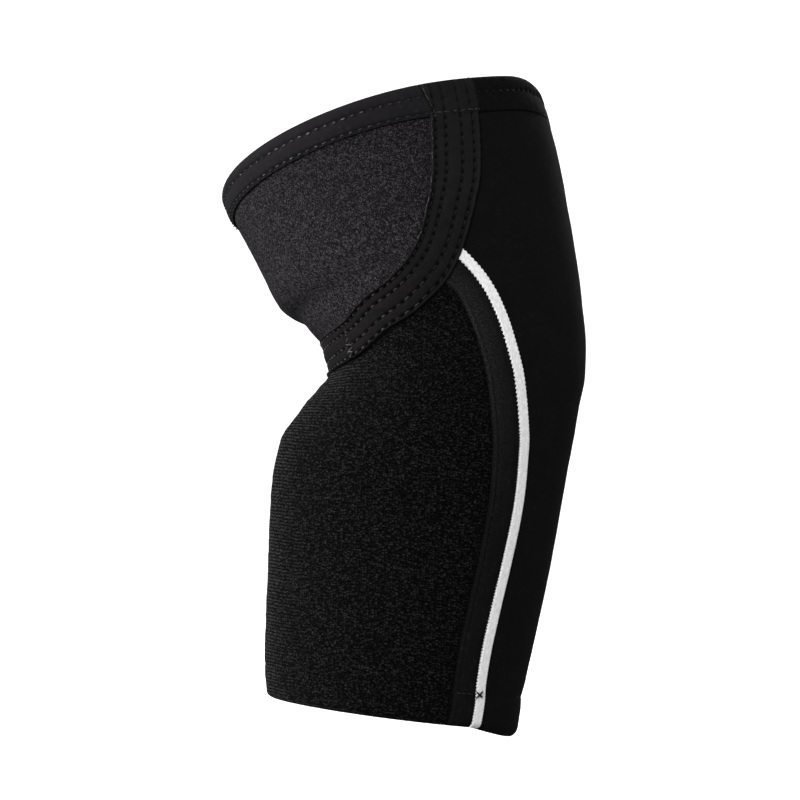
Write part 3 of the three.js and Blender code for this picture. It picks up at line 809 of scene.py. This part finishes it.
# %% Back jersey
height = heights_above_rim(1.0, FOREARM_LENGTH + PANEL_TOP)
across = np.linspace(-1, 1, 185)[None, :]
along = (height - FOREARM_LENGTH
         - BACK_PANEL_DROP * (1 - across**2) * np.clip(1 - height / 6.5, 0, 1))
edge_turn = np.where(along > piping_top[1], band_turn_at(along),
                     piping_turn(np.minimum(along, piping_top[1])))
turn = across * edge_turn
x, y = measured(skin(turn, along))
edge = np.minimum(x, x[:, -1:] - x)
hem_edge = UPPER_LENGTH - TOP_HEM_HEIGHT - hem_dip(turn)
under_hem = smoothstep(along, hem_edge + 0.2, hem_edge + 1.6)
outer = (0.15 + 0.12 * patchy(x, y, 14.0, 5) + 0.05 * patchy(x, y, 3.7, 6) - 0.8 * under_hem
         - 0.2 * bump(edge, PIPING_WIDTH / 2 + 0.2, 0.7) + hem_groove(height)
         - 0.5 * bump(height, BOTTOM_HEM_HEIGHT, 3.5) * bump(across, 0, 0.4))
outer, inner = rim_fold(height, outer, depth_above_rim(height) + 0 * outer)
panel("back_jersey", "back_panel", turn, along, outer, inner,
      (black_jersey, lining))


# %% Side strips, with a fold along their front edge
def side_strip(name, node, far):
    height, turn, along = under_band(
        0.5, (1 - np.cos(np.linspace(0, np.pi, 41)))[None, :] / 2,
        (PIPING_LEAVES_BAND, STRIP_LEAVES_BAND), on_line(piping_turn, piping_top[1]),
        on_line(strip_turn, strip_top[1]))
    x, y = measured(skin(turn, along))
    front = x[:, -1:] - x
    full = 0.3 + 0.7 * smoothstep(height, 5, 70)
    outer = (0.6 * full * bump(front, 0.95, 0.6) - 0.3 * full * bump(front, 2.1, 0.45)
             + 0.2 * full * bump(front, 3.6, 1.0)
             + 0.25 * bump(x, PIPING_WIDTH / 2 + 3.2, 1.3) * smoothstep(height, 40, 90)
             + 0.07 * patchy(x, y, 5.0, 7) - 0.1 * bump(x, PIPING_WIDTH / 2 + 0.3, 0.6)
             + hem_groove(height, 0.25))
    outer = -1.2 + (outer + 1.2) * rounded(front + 0.01, 0.7)
    outer, inner = rim_fold(height, outer, depth_above_rim(height))
    if far:
        turn = 2 - turn
    panel(name, node, turn, along, outer, inner, (strip_jersey, lining))


side_strip("strip_near_jersey", "side_strip_near", False)
side_strip("strip_far_jersey", "side_strip_far", True)

# %% [markdown]
# ## The band
# The band is a stitched tape over the seam between the panels, from the upper rim round the
# crook to the other side. It has a raised cord-like ridge along each edge, four rows of
# stitches and soft lanes between them. The stitches draw small hollows into the cloth.

# %% The band's profile
# Each stitch row's share across the band, at the rim and at the crook
STITCH_ROWS = ((0.1, 0.08), (0.3, 0.3), (0.61, 0.66), (0.855, 0.92))
BAND_PITCH = 3.3
ROW_LAG = 1.9  # radians of the pitch from one row to the next
JOIN_SHARE = 0.41


def row_share(row, share):
    """Where a stitch row lies across the band, moving from its place at the rim to that at the
    crook."""
    at_rim, at_crook = STITCH_ROWS[row]
    return lerp(at_rim, at_crook, 1 - np.abs(2 * share - 1))


def needle_beat(row, distance):
    """0 between two hollows of a stitch row and 1 in each, one pitch apart."""
    return 0.5 - 0.5 * np.cos(2 * np.pi * distance / BAND_PITCH + ROW_LAG * row)


def crook_press(share):
    """How far the crook presses the band in."""
    return 0.5 * bump(share, 0.5, 0.07)


def band_relief(across, share, distance, width):
    """The band's face over its flat: ridges on both edges, a groove along each stitch row with
    hollows one pitch apart, and lanes that puff up between the rows."""
    x = across * width
    scallop = 1 + 0.3 * np.cos(2 * np.pi * distance / BAND_PITCH)
    face = 0.55 * bump(x, 0.45, 0.38) * scallop + 0.5 * bump(width - x, 0.5, 0.45) * scallop
    face += (0.3 * bump(across, 0.455, 0.13) + 0.12 * bump(across, 0.2, 0.08)
             + 0.12 * bump(across, 0.74, 0.08))
    for row in range(4):
        away = x - row_share(row, share) * width
        beat = needle_beat(row, distance)
        face -= (bump(away, 0, 0.5) * (0.34 + 0.66 * beat**3)
                 - 0.16 * bump(away, 0, 1.5) * (1 - beat))
    return face


# %% The band's mesh
def band_mesh():
    """Places the profile along the band's middle line, cuts its two ends along the hem and
    lays a join across it near the crook on the near side."""
    top = UPPER_LENGTH - TOP_HEM_HEIGHT - 0.1
    first = float(band_share_at(top))
    share = np.linspace(first, 1 - first, 560)[:, None]
    across = (0.35 * (1 - np.cos(np.linspace(0, np.pi, 65)))[None, :] / 2
              + 0.65 * np.linspace(0, 1, 65))
    turn, along = on_band(share, across)
    along[[0, -1]] = top - hem_dip(turn[[0, -1]])
    x, y = measured(skin(turn, along))
    width, distance = band_at(share)[..., 2], y[:, [y.shape[1] // 2]]
    join = distance - np.interp(JOIN_SHARE, share[:, 0], distance[:, 0]) + (across - 0.5) * 2.5
    outer = (TAPE_FACE + band_relief(across, share, distance, width) + 0.08 * patchy(x, y, 2.3, 8)
             - 0.7 * bump(join, 0, 0.45) + 0.35 * bump(join, 1.1, 0.8))
    outer -= crook_press(share)
    inner = np.full(outer.shape, TAPE_LIFT - 0.3)
    from_edge = np.minimum(across, 1 - across) * width
    outer = inner + (outer - inner) * rounded(from_edge + 0.005, 0.5)
    mesh = panel("band_cloth", "elbow_band", turn, along, outer, inner,
                 (band_jersey, band_jersey)).data
    ring = len(mesh.vertices) // len(share)
    crookward = smoothstep(0.5 - np.abs(share[:, 0] - 0.5), 0.13, 0.3)
    write_points(mesh, "crookward", np.repeat(crookward, ring))
    # Painted shade in the stitch hollows: how dark each one is painted, strongest at its middle
    hole_painted_shade = sum(bump((across - row_share(row, share)) * width, 0, 0.42)
                * needle_beat(row, distance) ** 4 for row in range(4))
    hole_painted_shade = np.pad(np.broadcast_to(hole_painted_shade, outer.shape), ((0, 0), (0, ring - outer.shape[1])))
    write_points(mesh, "hole_painted_shade", hole_painted_shade)
    return share[:, 0], distance[:, 0]


band_shares, band_distances = band_mesh()

# %% [markdown]
# ## The piping
# The white tape lies flat on the seam behind the strip. It comes out from under the band, its
# woven edges are slightly toothed, and its lower end turns under the rim with the hem.


# %% Piping tapes
TOOTH_PITCH = 1.05


def piping_tape(name, node, far):
    """A flat profile along the piping's line, toothed by a triangle wave, cut where it is half a
    millimetre under the band's edge."""
    x = np.linspace(-1, 1, 17)[None, :] * PIPING_WIDTH / 2
    probe = np.linspace(piping_top[1] - 18, piping_top[1], 160)[:, None]
    line = off_line(piping_turn, probe, x)
    near_band = band_at(np.linspace(0.12, 0.34, 240))
    away = np.linalg.norm(skin(*line)[:, :, None] - skin(near_band[:, 0], near_band[:, 1]), axis=3)
    clear = (away - near_band[:, 2] / 2).min(axis=2) > -0.6
    top = probe[np.argmin(clear, axis=0) - 1, 0]
    low = FOLD_RADIUS * (1 - np.cos(np.linspace(0, np.pi / 2, 9)))
    low = np.repeat(low[:, None], x.shape[1], axis=1)
    high = lerp(FOLD_RADIUS, top + FOREARM_LENGTH, np.linspace(0, 1, 760)[1:, None])
    height = np.concatenate([low, high])
    along = height - FOREARM_LENGTH
    wave = 2 * np.abs((height / TOOTH_PITCH) % 1 - 0.5) - 0.5
    tooth = 0.5 * wave * (np.abs(x) / (PIPING_WIDTH / 2)) ** 4
    turn, along = off_line(piping_turn, along, x + np.sign(x) * tooth)
    edge = PIPING_WIDTH / 2 - np.abs(x)
    base, _ = rim_fold(height, 0.05, -WALL - BOTTOM_HEM_TURN)
    face = base + 0.15 + 0.6 * rounded(edge + 0.01, 0.3) + 0.05 * rounded(edge, 1.8)
    if far:
        turn = 2 - turn
    panel(name, node, turn, along, face, base + 0 * face,
          (white_twill, white_twill), even_rows=True)


piping_tape("piping_near_tape", "piping_near", False)
piping_tape("piping_far_tape", "piping_far", True)

# %% [markdown]
# ## The binding of the upper rim
# A strip of jersey is folded over the raw edges and stitched down. Its section is a soft U.
# The front one is charcoal with two rows of stitches, and the back one black with one. Where
# the band runs up into the back binding, its ridges and rows still show in the cloth on top.

# %% The U of the binding
FOLD_MIDDLE = (TAPE_FACE - WALL - 2 * TAPE_LIFT - TAPE_THICKNESS) / 2
FOLD_HALF = TAPE_FACE - FOLD_MIDDLE
FOLD_RISE = 3.4
HEM_PITCH = 3.3
HEM_ROW_LAG = 2.1
HEM_ROWS = (4.7, 10.0)
BACK_HEM_ROWS = (5.2,)
JOIN_SLANT = 0.012
JOIN_GAP = 0.001
band_top = band_at(0.0)
JOIN_TURN = float(beside(band_top[0], band_top[1], *band_at(1e-4)[:2], -band_top[2] / 2)[0])


def u_rail(half, rise, steps):
    """Offsets and drops along a U: up to the fold, half an ellipse over it, and down inside."""
    turn = np.linspace(0, np.pi, steps[1])
    outside = np.linspace(TOP_HEM_HEIGHT, FOLD_RISE, steps[0])
    inside = np.linspace(FOLD_RISE, TOP_HEM_INSIDE, steps[2])
    side = np.concatenate([np.ones(steps[0] - 1), np.cos(turn), -np.ones(steps[2] - 1)])
    drop = np.concatenate([outside[:-1], FOLD_RISE - rise * np.sin(turn), inside[1:]])
    return FOLD_MIDDLE + half * side, drop


def hem_relief(distance, drop, rows):
    """Grooves with hollows along the stitch rows, and cloth puffed up between them."""
    face = (0.22 * bump(drop, 7.4, 1.8) + 0.15 * bump(drop, 2.4, 1.4)
            - 0.35 * bump(drop, TOP_HEM_HEIGHT, 1.2))
    for k, row in enumerate(rows):
        beat = 0.5 - 0.5 * np.cos(2 * np.pi * distance / HEM_PITCH + HEM_ROW_LAG * k)
        face = (face - bump(drop, row, 0.6) * (0.2 + 0.4 * beat**3)
                + 0.14 * bump(drop, row - 1.1, 0.6) * (1 - beat))
    return face


def back_thinning(turn):
    """The binding is pulled thinner in the middle of the back."""
    return 0.55 * bump(turn, 0, 0.17)


def raised(turn, drop):
    """The height of a drop below the rim. The rim rises a little near the back of the arm, and
    the binding's lower edge dips over the band."""
    peak = bump(np.abs(turn), RIM_RISE_TURN, RIM_RISE_REACH)
    return UPPER_LENGTH - drop + lerp(RIM_RISE * peak, -hem_dip(turn), drop / TOP_HEM_HEIGHT)


OUTSIDE_COLUMNS = 36  # of the U's columns, those on its outside
ROW_COLUMN = 10  # the one whose turns the stitches follow


def rim_binding(name, node, ends, rows, made_of):
    """The U at each turn round the rim. Its two ends slant forward to the rim, with the band.
    On the back one, the band's profile is added where the band passes below."""
    is_back = ends[0] < 0

    def turns_at(drop):
        slant = JOIN_SLANT * (1 - drop / TOP_HEM_HEIGHT) * (-1 if is_back else 1)
        return lerp(ends[0] + slant, ends[1] - slant, np.linspace(0, 1, 620)[:, None])

    offset, drop = u_rail(FOLD_HALF, FOLD_RISE, (31, 15, 7))
    inner_offset, inner_drop = u_rail(FOLD_HALF - TAPE_THICKNESS, FOLD_RISE - TAPE_THICKNESS,
                                      (11, 9, 5))
    turns = turns_at(drop)
    along = raised(turns, drop)
    row_turns = turns[:, ROW_COLUMN]
    distance = running(skin(row_turns, np.full(len(turns), UPPER_LENGTH - 5.0)))[:, None]
    outside = np.arange(len(offset)) < OUTSIDE_COLUMNS
    relief = hem_relief(distance, drop, rows) + 0.06 * patchy(distance, drop, 2.2, 9)
    over_band = np.zeros(relief.shape)
    if is_back:
        per_turn = np.linalg.norm(slopes(np.abs(turns), along)[0], axis=-1)
        width = BAND_LINE[0, 2] * BAND_WIDTH
        from_line = band_turn_at(np.minimum(along, UPPER_LENGTH)) - np.abs(turns)
        across = 0.5 + from_line * per_turn / width
        over_band = smoothstep(-across, -1.06, -0.98)
        relief = (relief * (1 - 0.6 * over_band)
                  + 1.1 * band_relief(across, 0.0, -drop, width) * over_band)
    thinner = back_thinning(turns) * smoothstep(drop, 2, 8)
    edge = TOP_HEM_HEIGHT - drop
    from_end = np.minimum(distance, distance[-1:] - distance)
    face = offset + np.where(outside, relief - thinner, 0)
    face = np.where(edge < 0.6, TAPE_LIFT + (face - TAPE_LIFT) * rounded(edge + 0.01, 0.5), face)
    face -= (0.45 * bump(from_end, 0, 0.5) - 0.3 * bump(from_end, 0.9, 0.4)) * outside
    inner_turns = turns_at(inner_drop)
    outer = cloth(turns, along, face)
    inner = cloth(inner_turns, raised(inner_turns, inner_drop),
                  inner_offset - 0.5 * bump(inner_turns, 0, 0.17) * (inner_offset > 0))
    rail = running(np.column_stack([offset, drop]))
    outer_uv = np.stack(np.broadcast_arrays(distance, rail), axis=-1)
    inner_uv = np.stack(np.broadcast_arrays(distance, TOP_HEM_HEIGHT - inner_drop), axis=-1)
    made = shell(name, outer, inner, outer_uv, inner_uv, (made_of, made_of))
    write_points(made.data, "over_band",
                 np.concatenate([over_band, np.zeros(inner.shape[:2])], axis=1))
    stand_in(name, made, node, outer, flat_size(outer)[::-1])
    return row_turns, distance[:, 0]


front_hem = rim_binding("hem_front_binding", "top_hem_front",
                        (JOIN_TURN + JOIN_GAP, 2 - JOIN_TURN - JOIN_GAP), HEM_ROWS,
                        charcoal_binding)
back_hem = rim_binding("hem_back_binding", "top_hem_back",
                       (-JOIN_TURN + JOIN_GAP, JOIN_TURN - JOIN_GAP), BACK_HEM_ROWS,
                       black_binding)

# %% [markdown]
# ## Stitches
# Each stitch that shows is a short thread whose ends dive into the cloth. They could be a bump
# in the material, but their highlights and shadows are what makes a seam look sewn, so each
# one is a small tube of 60 triangles, placed all at once from arrays.


# %% Threads
def threads(name, starts, ends, normals, radius, dive, pale):
    """Tubes from starts to ends: a ring of six at five places, thinner to both ends by the root
    of one less the square of the place, sunk by the dive times that square. No two stitches
    are pulled alike, so each one's ends, thickness and paleness vary a little by chance."""
    place = np.array([-0.9, -0.5, 0.0, 0.5, 0.9])
    angle = np.arange(6) * np.pi / 3
    swell = np.sqrt(1 - 0.8 * place**2)
    ring = np.stack([np.repeat(place, 6), np.outer(swell, np.cos(angle)).ravel(),
                     np.outer(swell, np.sin(angle)).ravel()], axis=-1)
    shape = np.vstack([ring, [(-1, 0, 0), (1, 0, 0)]])
    chance = np.random.default_rng(len(starts))
    starts, ends = (p + chance.normal(0, 0.09, p.shape) for p in (starts, ends))
    radius = radius * chance.uniform(0.7, 1.1, (len(starts), 1))
    pale = pale * chance.uniform(0.2, 1.0, len(starts))
    middle, half = (starts + ends) / 2, (ends - starts) / 2
    side = unit(np.cross(normals, half)) * radius
    up = unit(np.cross(half, side)) * radius
    points = (middle[:, None] + shape[:, :1] * half[:, None] + shape[:, 1:2] * side[:, None]
              + shape[:, 2:] * up[:, None] - dive * shape[:, :1] ** 2 * normals[:, None])
    around = [[6 * i + j, 6 * i + (j + 1) % 6, 6 * i + 6 + (j + 1) % 6, 6 * i + 6 + j]
              for i in range(4) for j in range(6)]
    tips = ([[30, (j + 1) % 6, j] for j in range(6)]
            + [[31, 24 + j, 24 + (j + 1) % 6] for j in range(6)])
    base = np.arange(len(starts))[:, None, None] * len(shape)
    faces = sum(((base + np.array(part)).reshape(-1, len(part[0])).tolist()
                 for part in (around, tips)), [])
    mesh = bpy.data.meshes.new(name)
    mesh.from_pydata(points.reshape(-1, 3) * MM, [], faces)
    mesh.polygons.foreach_set("use_smooth", np.ones(len(mesh.polygons), bool))
    write_points(mesh, "pale", np.repeat(pale, len(shape)))
    mesh.materials.append(thread)
    mesh.update()
    made = added(name, mesh)
    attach(made, "root")
    print(f"{name}: {len(starts)} threads")
    return made


def stitch_row(address, stations, length, lift):
    """Starts, ends and outward directions of stitches centred on stations, which count
    millimetres along a row of addresses."""
    sides = [address(stations + k * length / 2) for k in (-1, 1)]
    return *(cloth(*side, lift) for side in sides), outward(*address(stations))


def joined(parts):
    """Rows of stitches as one list each of starts, ends and outward directions."""
    return [np.concatenate([part[k] for part in parts]) for k in range(3)]


# %% The band's stitches
def band_rows():
    """The four rows: each address is the row's share across the band at a distance along it."""
    parts, tones = [], []
    for row in range(4):
        count = np.arange(1, int(band_distances[-1] / BAND_PITCH))
        stations = BAND_PITCH * (count - ROW_LAG * row / (2 * np.pi))

        def address(distance, row=row):
            share = np.interp(distance, band_distances, band_shares)
            return on_band(share, row_share(row, share))

        share = np.interp(stations, band_distances, band_shares)
        pale = smoothstep(0.5 - np.abs(share - 0.5), 0.25, 0.36)
        parts.append(stitch_row(address, stations, lerp(2.1, 1.15, pale),
                                TAPE_FACE + 0.1 - crook_press(share)))
        tones.append(0.2 * pale)
    return joined(parts), np.concatenate(tones)


rows, tones = band_rows()
band_stitches = threads("band_stitches", *rows, 0.27, 0.25, tones)


# %% The upper rim's stitches
def rim_stitches(name, hem, rows, radius, length, pale):
    """Stitches at each row's drop below the rim, one pitch apart, between the hollows. Their
    paleness is a function of the turn, and weaker in each further row."""
    turns, distance = hem
    parts, tones = [], []
    for k, row in enumerate(rows):
        count = np.arange(1, int(distance[-1] / HEM_PITCH))
        stations = HEM_PITCH * (count - HEM_ROW_LAG * k / (2 * np.pi))

        def address(d, row=row):
            turn = np.interp(d, distance, turns)
            return turn, raised(turn, row)

        turn = address(stations)[0]
        parts.append(stitch_row(address, stations, length, TAPE_FACE + 0.1 - back_thinning(turn)))
        tones.append(pale(turn) * 0.6**k)
    return threads(name, *joined(parts), radius, 0.22, np.concatenate(tones))


hem_front_stitches = rim_stitches("hem_front_stitches", front_hem, HEM_ROWS, 0.23, 1.25,
                                  lambda turn: 0.12 + 0.6 * bump(np.abs(turn - 1), 0.33, 0.14))
hem_back_stitches = rim_stitches("hem_back_stitches", back_hem, BACK_HEM_ROWS, 0.16, 1.4,
                                 lambda turn: 0.13 * bump(np.abs(turn), 0.195, 0.045))


# %% The stitches of the strips and of the lower hem
def along_strip(far, inset, stations):
    """Addresses up the strip, inset from its front edge."""
    turn, along = off_line(strip_turn, stations, -inset)
    return (2 - turn if far else turn), along


def level_row(first, last, pitch, height):
    """Addresses at one height above the lower rim, and stations a pitch apart along them."""
    turn = np.linspace(first, last, 400)
    along = height - FOREARM_LENGTH
    distance = running(skin(turn, along))
    stations = np.arange(pitch, distance[-1] - pitch / 2, pitch)
    return (lambda d: (np.interp(d, distance, turn), np.full(d.shape, along))), stations


PIPING_TURNS = 0.012  # a little over half of the tape's width, as turns
low = -FOREARM_LENGTH
rim_turns = float(piping_turn(low + BOTTOM_HEM_HEIGHT)), float(strip_turn(low + BOTTOM_HEM_HEIGHT))
lower_parts, lower_tones, tack_parts = [], [], []
for far in (False, True):
    tack = []
    for rise in (-1, 1):
        tack_along = low + BOTTOM_HEM_HEIGHT + 0.4 + rise * np.array([-1.3, -0.9, 1.3, 0.9])
        turn, along = off_line(piping_turn, tack_along,
                               1.05 + rise * np.array([-1.2, -1.4, -1.4, -1.1]))
        tack.append((2 - turn if far else turn, along))
    tack_parts.append([cloth(*place, TAPE_FACE + 0.12) for place in tack] + [outward(*tack[0])])
    stations = np.arange(low + 16, strip_top[1] - 8, 2.7)
    lower_parts.append(stitch_row(lambda d: along_strip(far, 2.1, d), stations, 1.9, -0.2))
    lower_tones.append(np.full(len(stations), 0.02))
for first, last, lift, pale in (
        (rim_turns[0] + PIPING_TURNS, rim_turns[1], -0.1, 0.16),
        (2 - rim_turns[1], 2 - rim_turns[0] - PIPING_TURNS, -0.1, 0.16),
        (-rim_turns[0] + PIPING_TURNS, rim_turns[0] - PIPING_TURNS, -0.3, 0.0)):
    address, stations = level_row(first, last, 2.4, BOTTOM_HEM_HEIGHT)
    lower_parts.append(stitch_row(address, stations, 2.3, lift))
    lower_tones.append(np.full(len(stations), pale))
lower_stitches = threads("lower_stitches", *joined(lower_parts), 0.16, 0.2,
                         np.concatenate(lower_tones))
piping_tacks = threads("piping_tacks", *joined(tack_parts), 0.3, 0.1, np.zeros(8))


# %% Tacks: the threads over the band's join, the rim's seam over the band, the band's edge cord
JOIN_THREADS = np.array([  # each thread's two ends: share of the band's line and across, twice
    (0.4085, 0.07, 0.4055, 0.15), (0.405, 0.2, 0.4095, 0.28), (0.41, 0.33, 0.406, 0.42),
    (0.4065, 0.47, 0.412, 0.54), (0.404, 0.56, 0.414, 0.66), (0.414, 0.58, 0.404, 0.69),
    (0.405, 0.72, 0.414, 0.81), (0.415, 0.74, 0.406, 0.85), (0.408, 0.86, 0.4135, 0.96)])
RIM_SEAM = np.array([0.12, 0.26, 0.42, 0.55, 0.71, 0.86, 0.98])  # across the band, at its top
starts, ends = (cloth(*on_band(JOIN_THREADS[:, k], JOIN_THREADS[:, k + 1]), TAPE_FACE + 0.25)
                for k in (0, 2))
normals = outward(*on_band(JOIN_THREADS[:, 0], JOIN_THREADS[:, 1]))
seam_along = np.full(len(RIM_SEAM), UPPER_LENGTH - TOP_HEM_HEIGHT + 0.9)
seam_turn = band_turn_at(seam_along) + (0.5 - RIM_SEAM) * BAND_WIDTH / 160
seam_along -= hem_dip(seam_turn)
seam = cloth(seam_turn, seam_along, TAPE_FACE + 0.25)
starts = np.concatenate([starts, lerp(seam[:-1], seam[1:], 0.15)])
ends = np.concatenate([ends, lerp(seam[:-1], seam[1:], 0.8)])
normals = np.concatenate([normals, outward(seam_turn, seam_along)[:-1]])
tones = [np.linspace(0.1, 0.32, len(JOIN_THREADS)), np.full(len(RIM_SEAM) - 1, 0.16)]

# The thin cord along the band's front edge, from the rim down
share = np.linspace(0.056, 0.235, 32)
edge_turn, edge_along = on_band(share, 0.024 + 0.012 * np.sin(150 * share))
drop = np.linspace(1.5, TOP_HEM_HEIGHT, 5)
on_hem = JOIN_TURN + JOIN_SLANT * (1 - drop / TOP_HEM_HEIGHT)
edge_turn = np.concatenate([on_hem, edge_turn])
edge_along = np.concatenate([raised(on_hem, drop), edge_along])
edge_line = cloth(edge_turn, edge_along, TAPE_FACE + 0.3)
starts = np.concatenate([starts, edge_line[:-1]])
ends = np.concatenate([ends, edge_line[1:]])
normals = np.concatenate([normals, outward(edge_turn, edge_along)[:-1]])
tones.append(np.full(len(edge_line) - 1, 0.17))
tacks = threads("tack_threads", starts, ends, normals, 0.2, 0.12, np.concatenate(tones))

# %% [markdown]
# ## Cloth facts
# Each cloth's flat size is measured here along its own grid as it is worn, and printed with its
# area.
# The trims and threads that lie on each cloth are listed with it.

# %% Sheets
WITH = {
    "band_cloth": [band_stitches, tacks],
    "hem_front_binding": [hem_front_stitches],
    "hem_back_binding": [hem_back_stitches],
    "back_jersey": [pieces["piping_near_tape"]["object"], pieces["piping_far_tape"]["object"],
                    lower_stitches, piping_tacks],
}
for name, made in pieces.items():
    if name.startswith("piping"):
        continue
    width, height_flat = made["flat"]
    area = min(made["area"], width * height_flat)
    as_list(WITH.get(name, []))
    print(f"{name}: {width * 1000:.0f} x {height_flat * 1000:.0f} mm, {area * 1e4:.0f} cm2")

# %% [markdown]
# ## The studio
# A pale floor that curves up into a pale wall all round keeps every view plain. A large soft
# light from the left brightens the left edges of the sleeve, as in the photograph, a weaker
# one from the front shows the stitches, two more make out the sides that the camera doesn't
# see, and the sky fills the rest.

# %% Floor and wall
SPOKES = 96
angle = np.linspace(0, 2 * np.pi, SPOKES + 1)[:-1]
bend = np.linspace(0, np.pi / 2, 13)
radii = np.concatenate([[0.02], 2.4 + 0.8 * np.sin(bend), [3.2]])
levels = np.concatenate([[0], 0.8 * (1 - np.cos(bend)), [2.2]]) - 0.24
stage_points = np.stack([np.outer(radii, np.cos(angle)), np.outer(radii, np.sin(angle)),
                         np.repeat(levels[:, None], SPOKES, axis=1)], axis=-1)
i, j = np.meshgrid(np.arange(len(radii) - 1), np.arange(SPOKES), indexing="ij")
here, k = i * SPOKES, (j + 1) % SPOKES
quads = np.stack([here + j, here + k, here + SPOKES + k, here + SPOKES + j], axis=-1)
stage_mesh = bpy.data.meshes.new("studio_floor")
stage_mesh.from_pydata(stage_points.reshape(-1, 3), [],
                       quads.reshape(-1, 4)[:, ::-1].tolist() + [list(range(SPOKES))])
stage_mesh.polygons.foreach_set("use_smooth", np.ones(len(stage_mesh.polygons), bool))
studio = added("studio_floor", stage_mesh)
paper = bpy.data.materials.new("pale paper")
paper.use_nodes = True
n = Nodes(paper.node_tree)
shaded = n.add("ShaderNodeBsdfDiffuse", {"Color": (0.9, 0.9, 0.9, 1)}).outputs[0]
glow, dim = (n.add("ShaderNodeEmission", {"Strength": s}).outputs[0] for s in (0.75, 0.3))
lit = n.add("ShaderNodeAddShader", {0: shaded, 1: glow}).outputs[0]
seen = n.add("ShaderNodeLightPath").outputs["Is Camera Ray"]
mixed = n.add("ShaderNodeMixShader", {0: seen, 1: dim, 2: lit}).outputs[0]
n.link(mixed, n.tree.nodes["Material Output"].inputs["Surface"])
stage_mesh.materials.append(paper)

# %% Lights and sky
def softbox(name, place, size, power):
    """A square light that faces the sleeve."""
    light = bpy.data.lights.new(name, "AREA")
    light.size, light.energy = size, power
    lamp = added(name, light)
    lamp.location = place
    towards = Vector((-0.013, 0.013, -0.025)) - lamp.location
    lamp.rotation_euler = towards.to_track_quat("-Z", "Y").to_euler()


softbox("left_light", (-1.6, -0.1, 0.32), 1.2, 51)
softbox("front_light", (-0.5, -1.9, 0.75), 0.9, 42)
softbox("right_light", (1.6, 0.4, 0.3), 1.0, 9)
softbox("far_light", (0.6, 1.9, 0.8), 1.0, 16)
world = bpy.data.worlds.new("sky")
world.use_nodes = True
world.node_tree.nodes["Background"].inputs["Color"].default_value = (1, 1, 1, 1)
world.node_tree.nodes["Background"].inputs["Strength"].default_value = 0.3
bpy.context.scene.world = world
bpy.context.scene.view_settings.view_transform = "Standard"

# %% Camera
camera_data = bpy.data.cameras.new("camera")
camera_data.lens, camera_data.sensor_width = 154.75, 36
camera = added("camera", camera_data)
camera.location = (-0.0138, -1.2, -0.02345)
camera.rotation_euler = (math.pi / 2, 0, 0)
bpy.context.scene.camera = camera

# %% Updating the scene
bpy.context.view_layer.update()
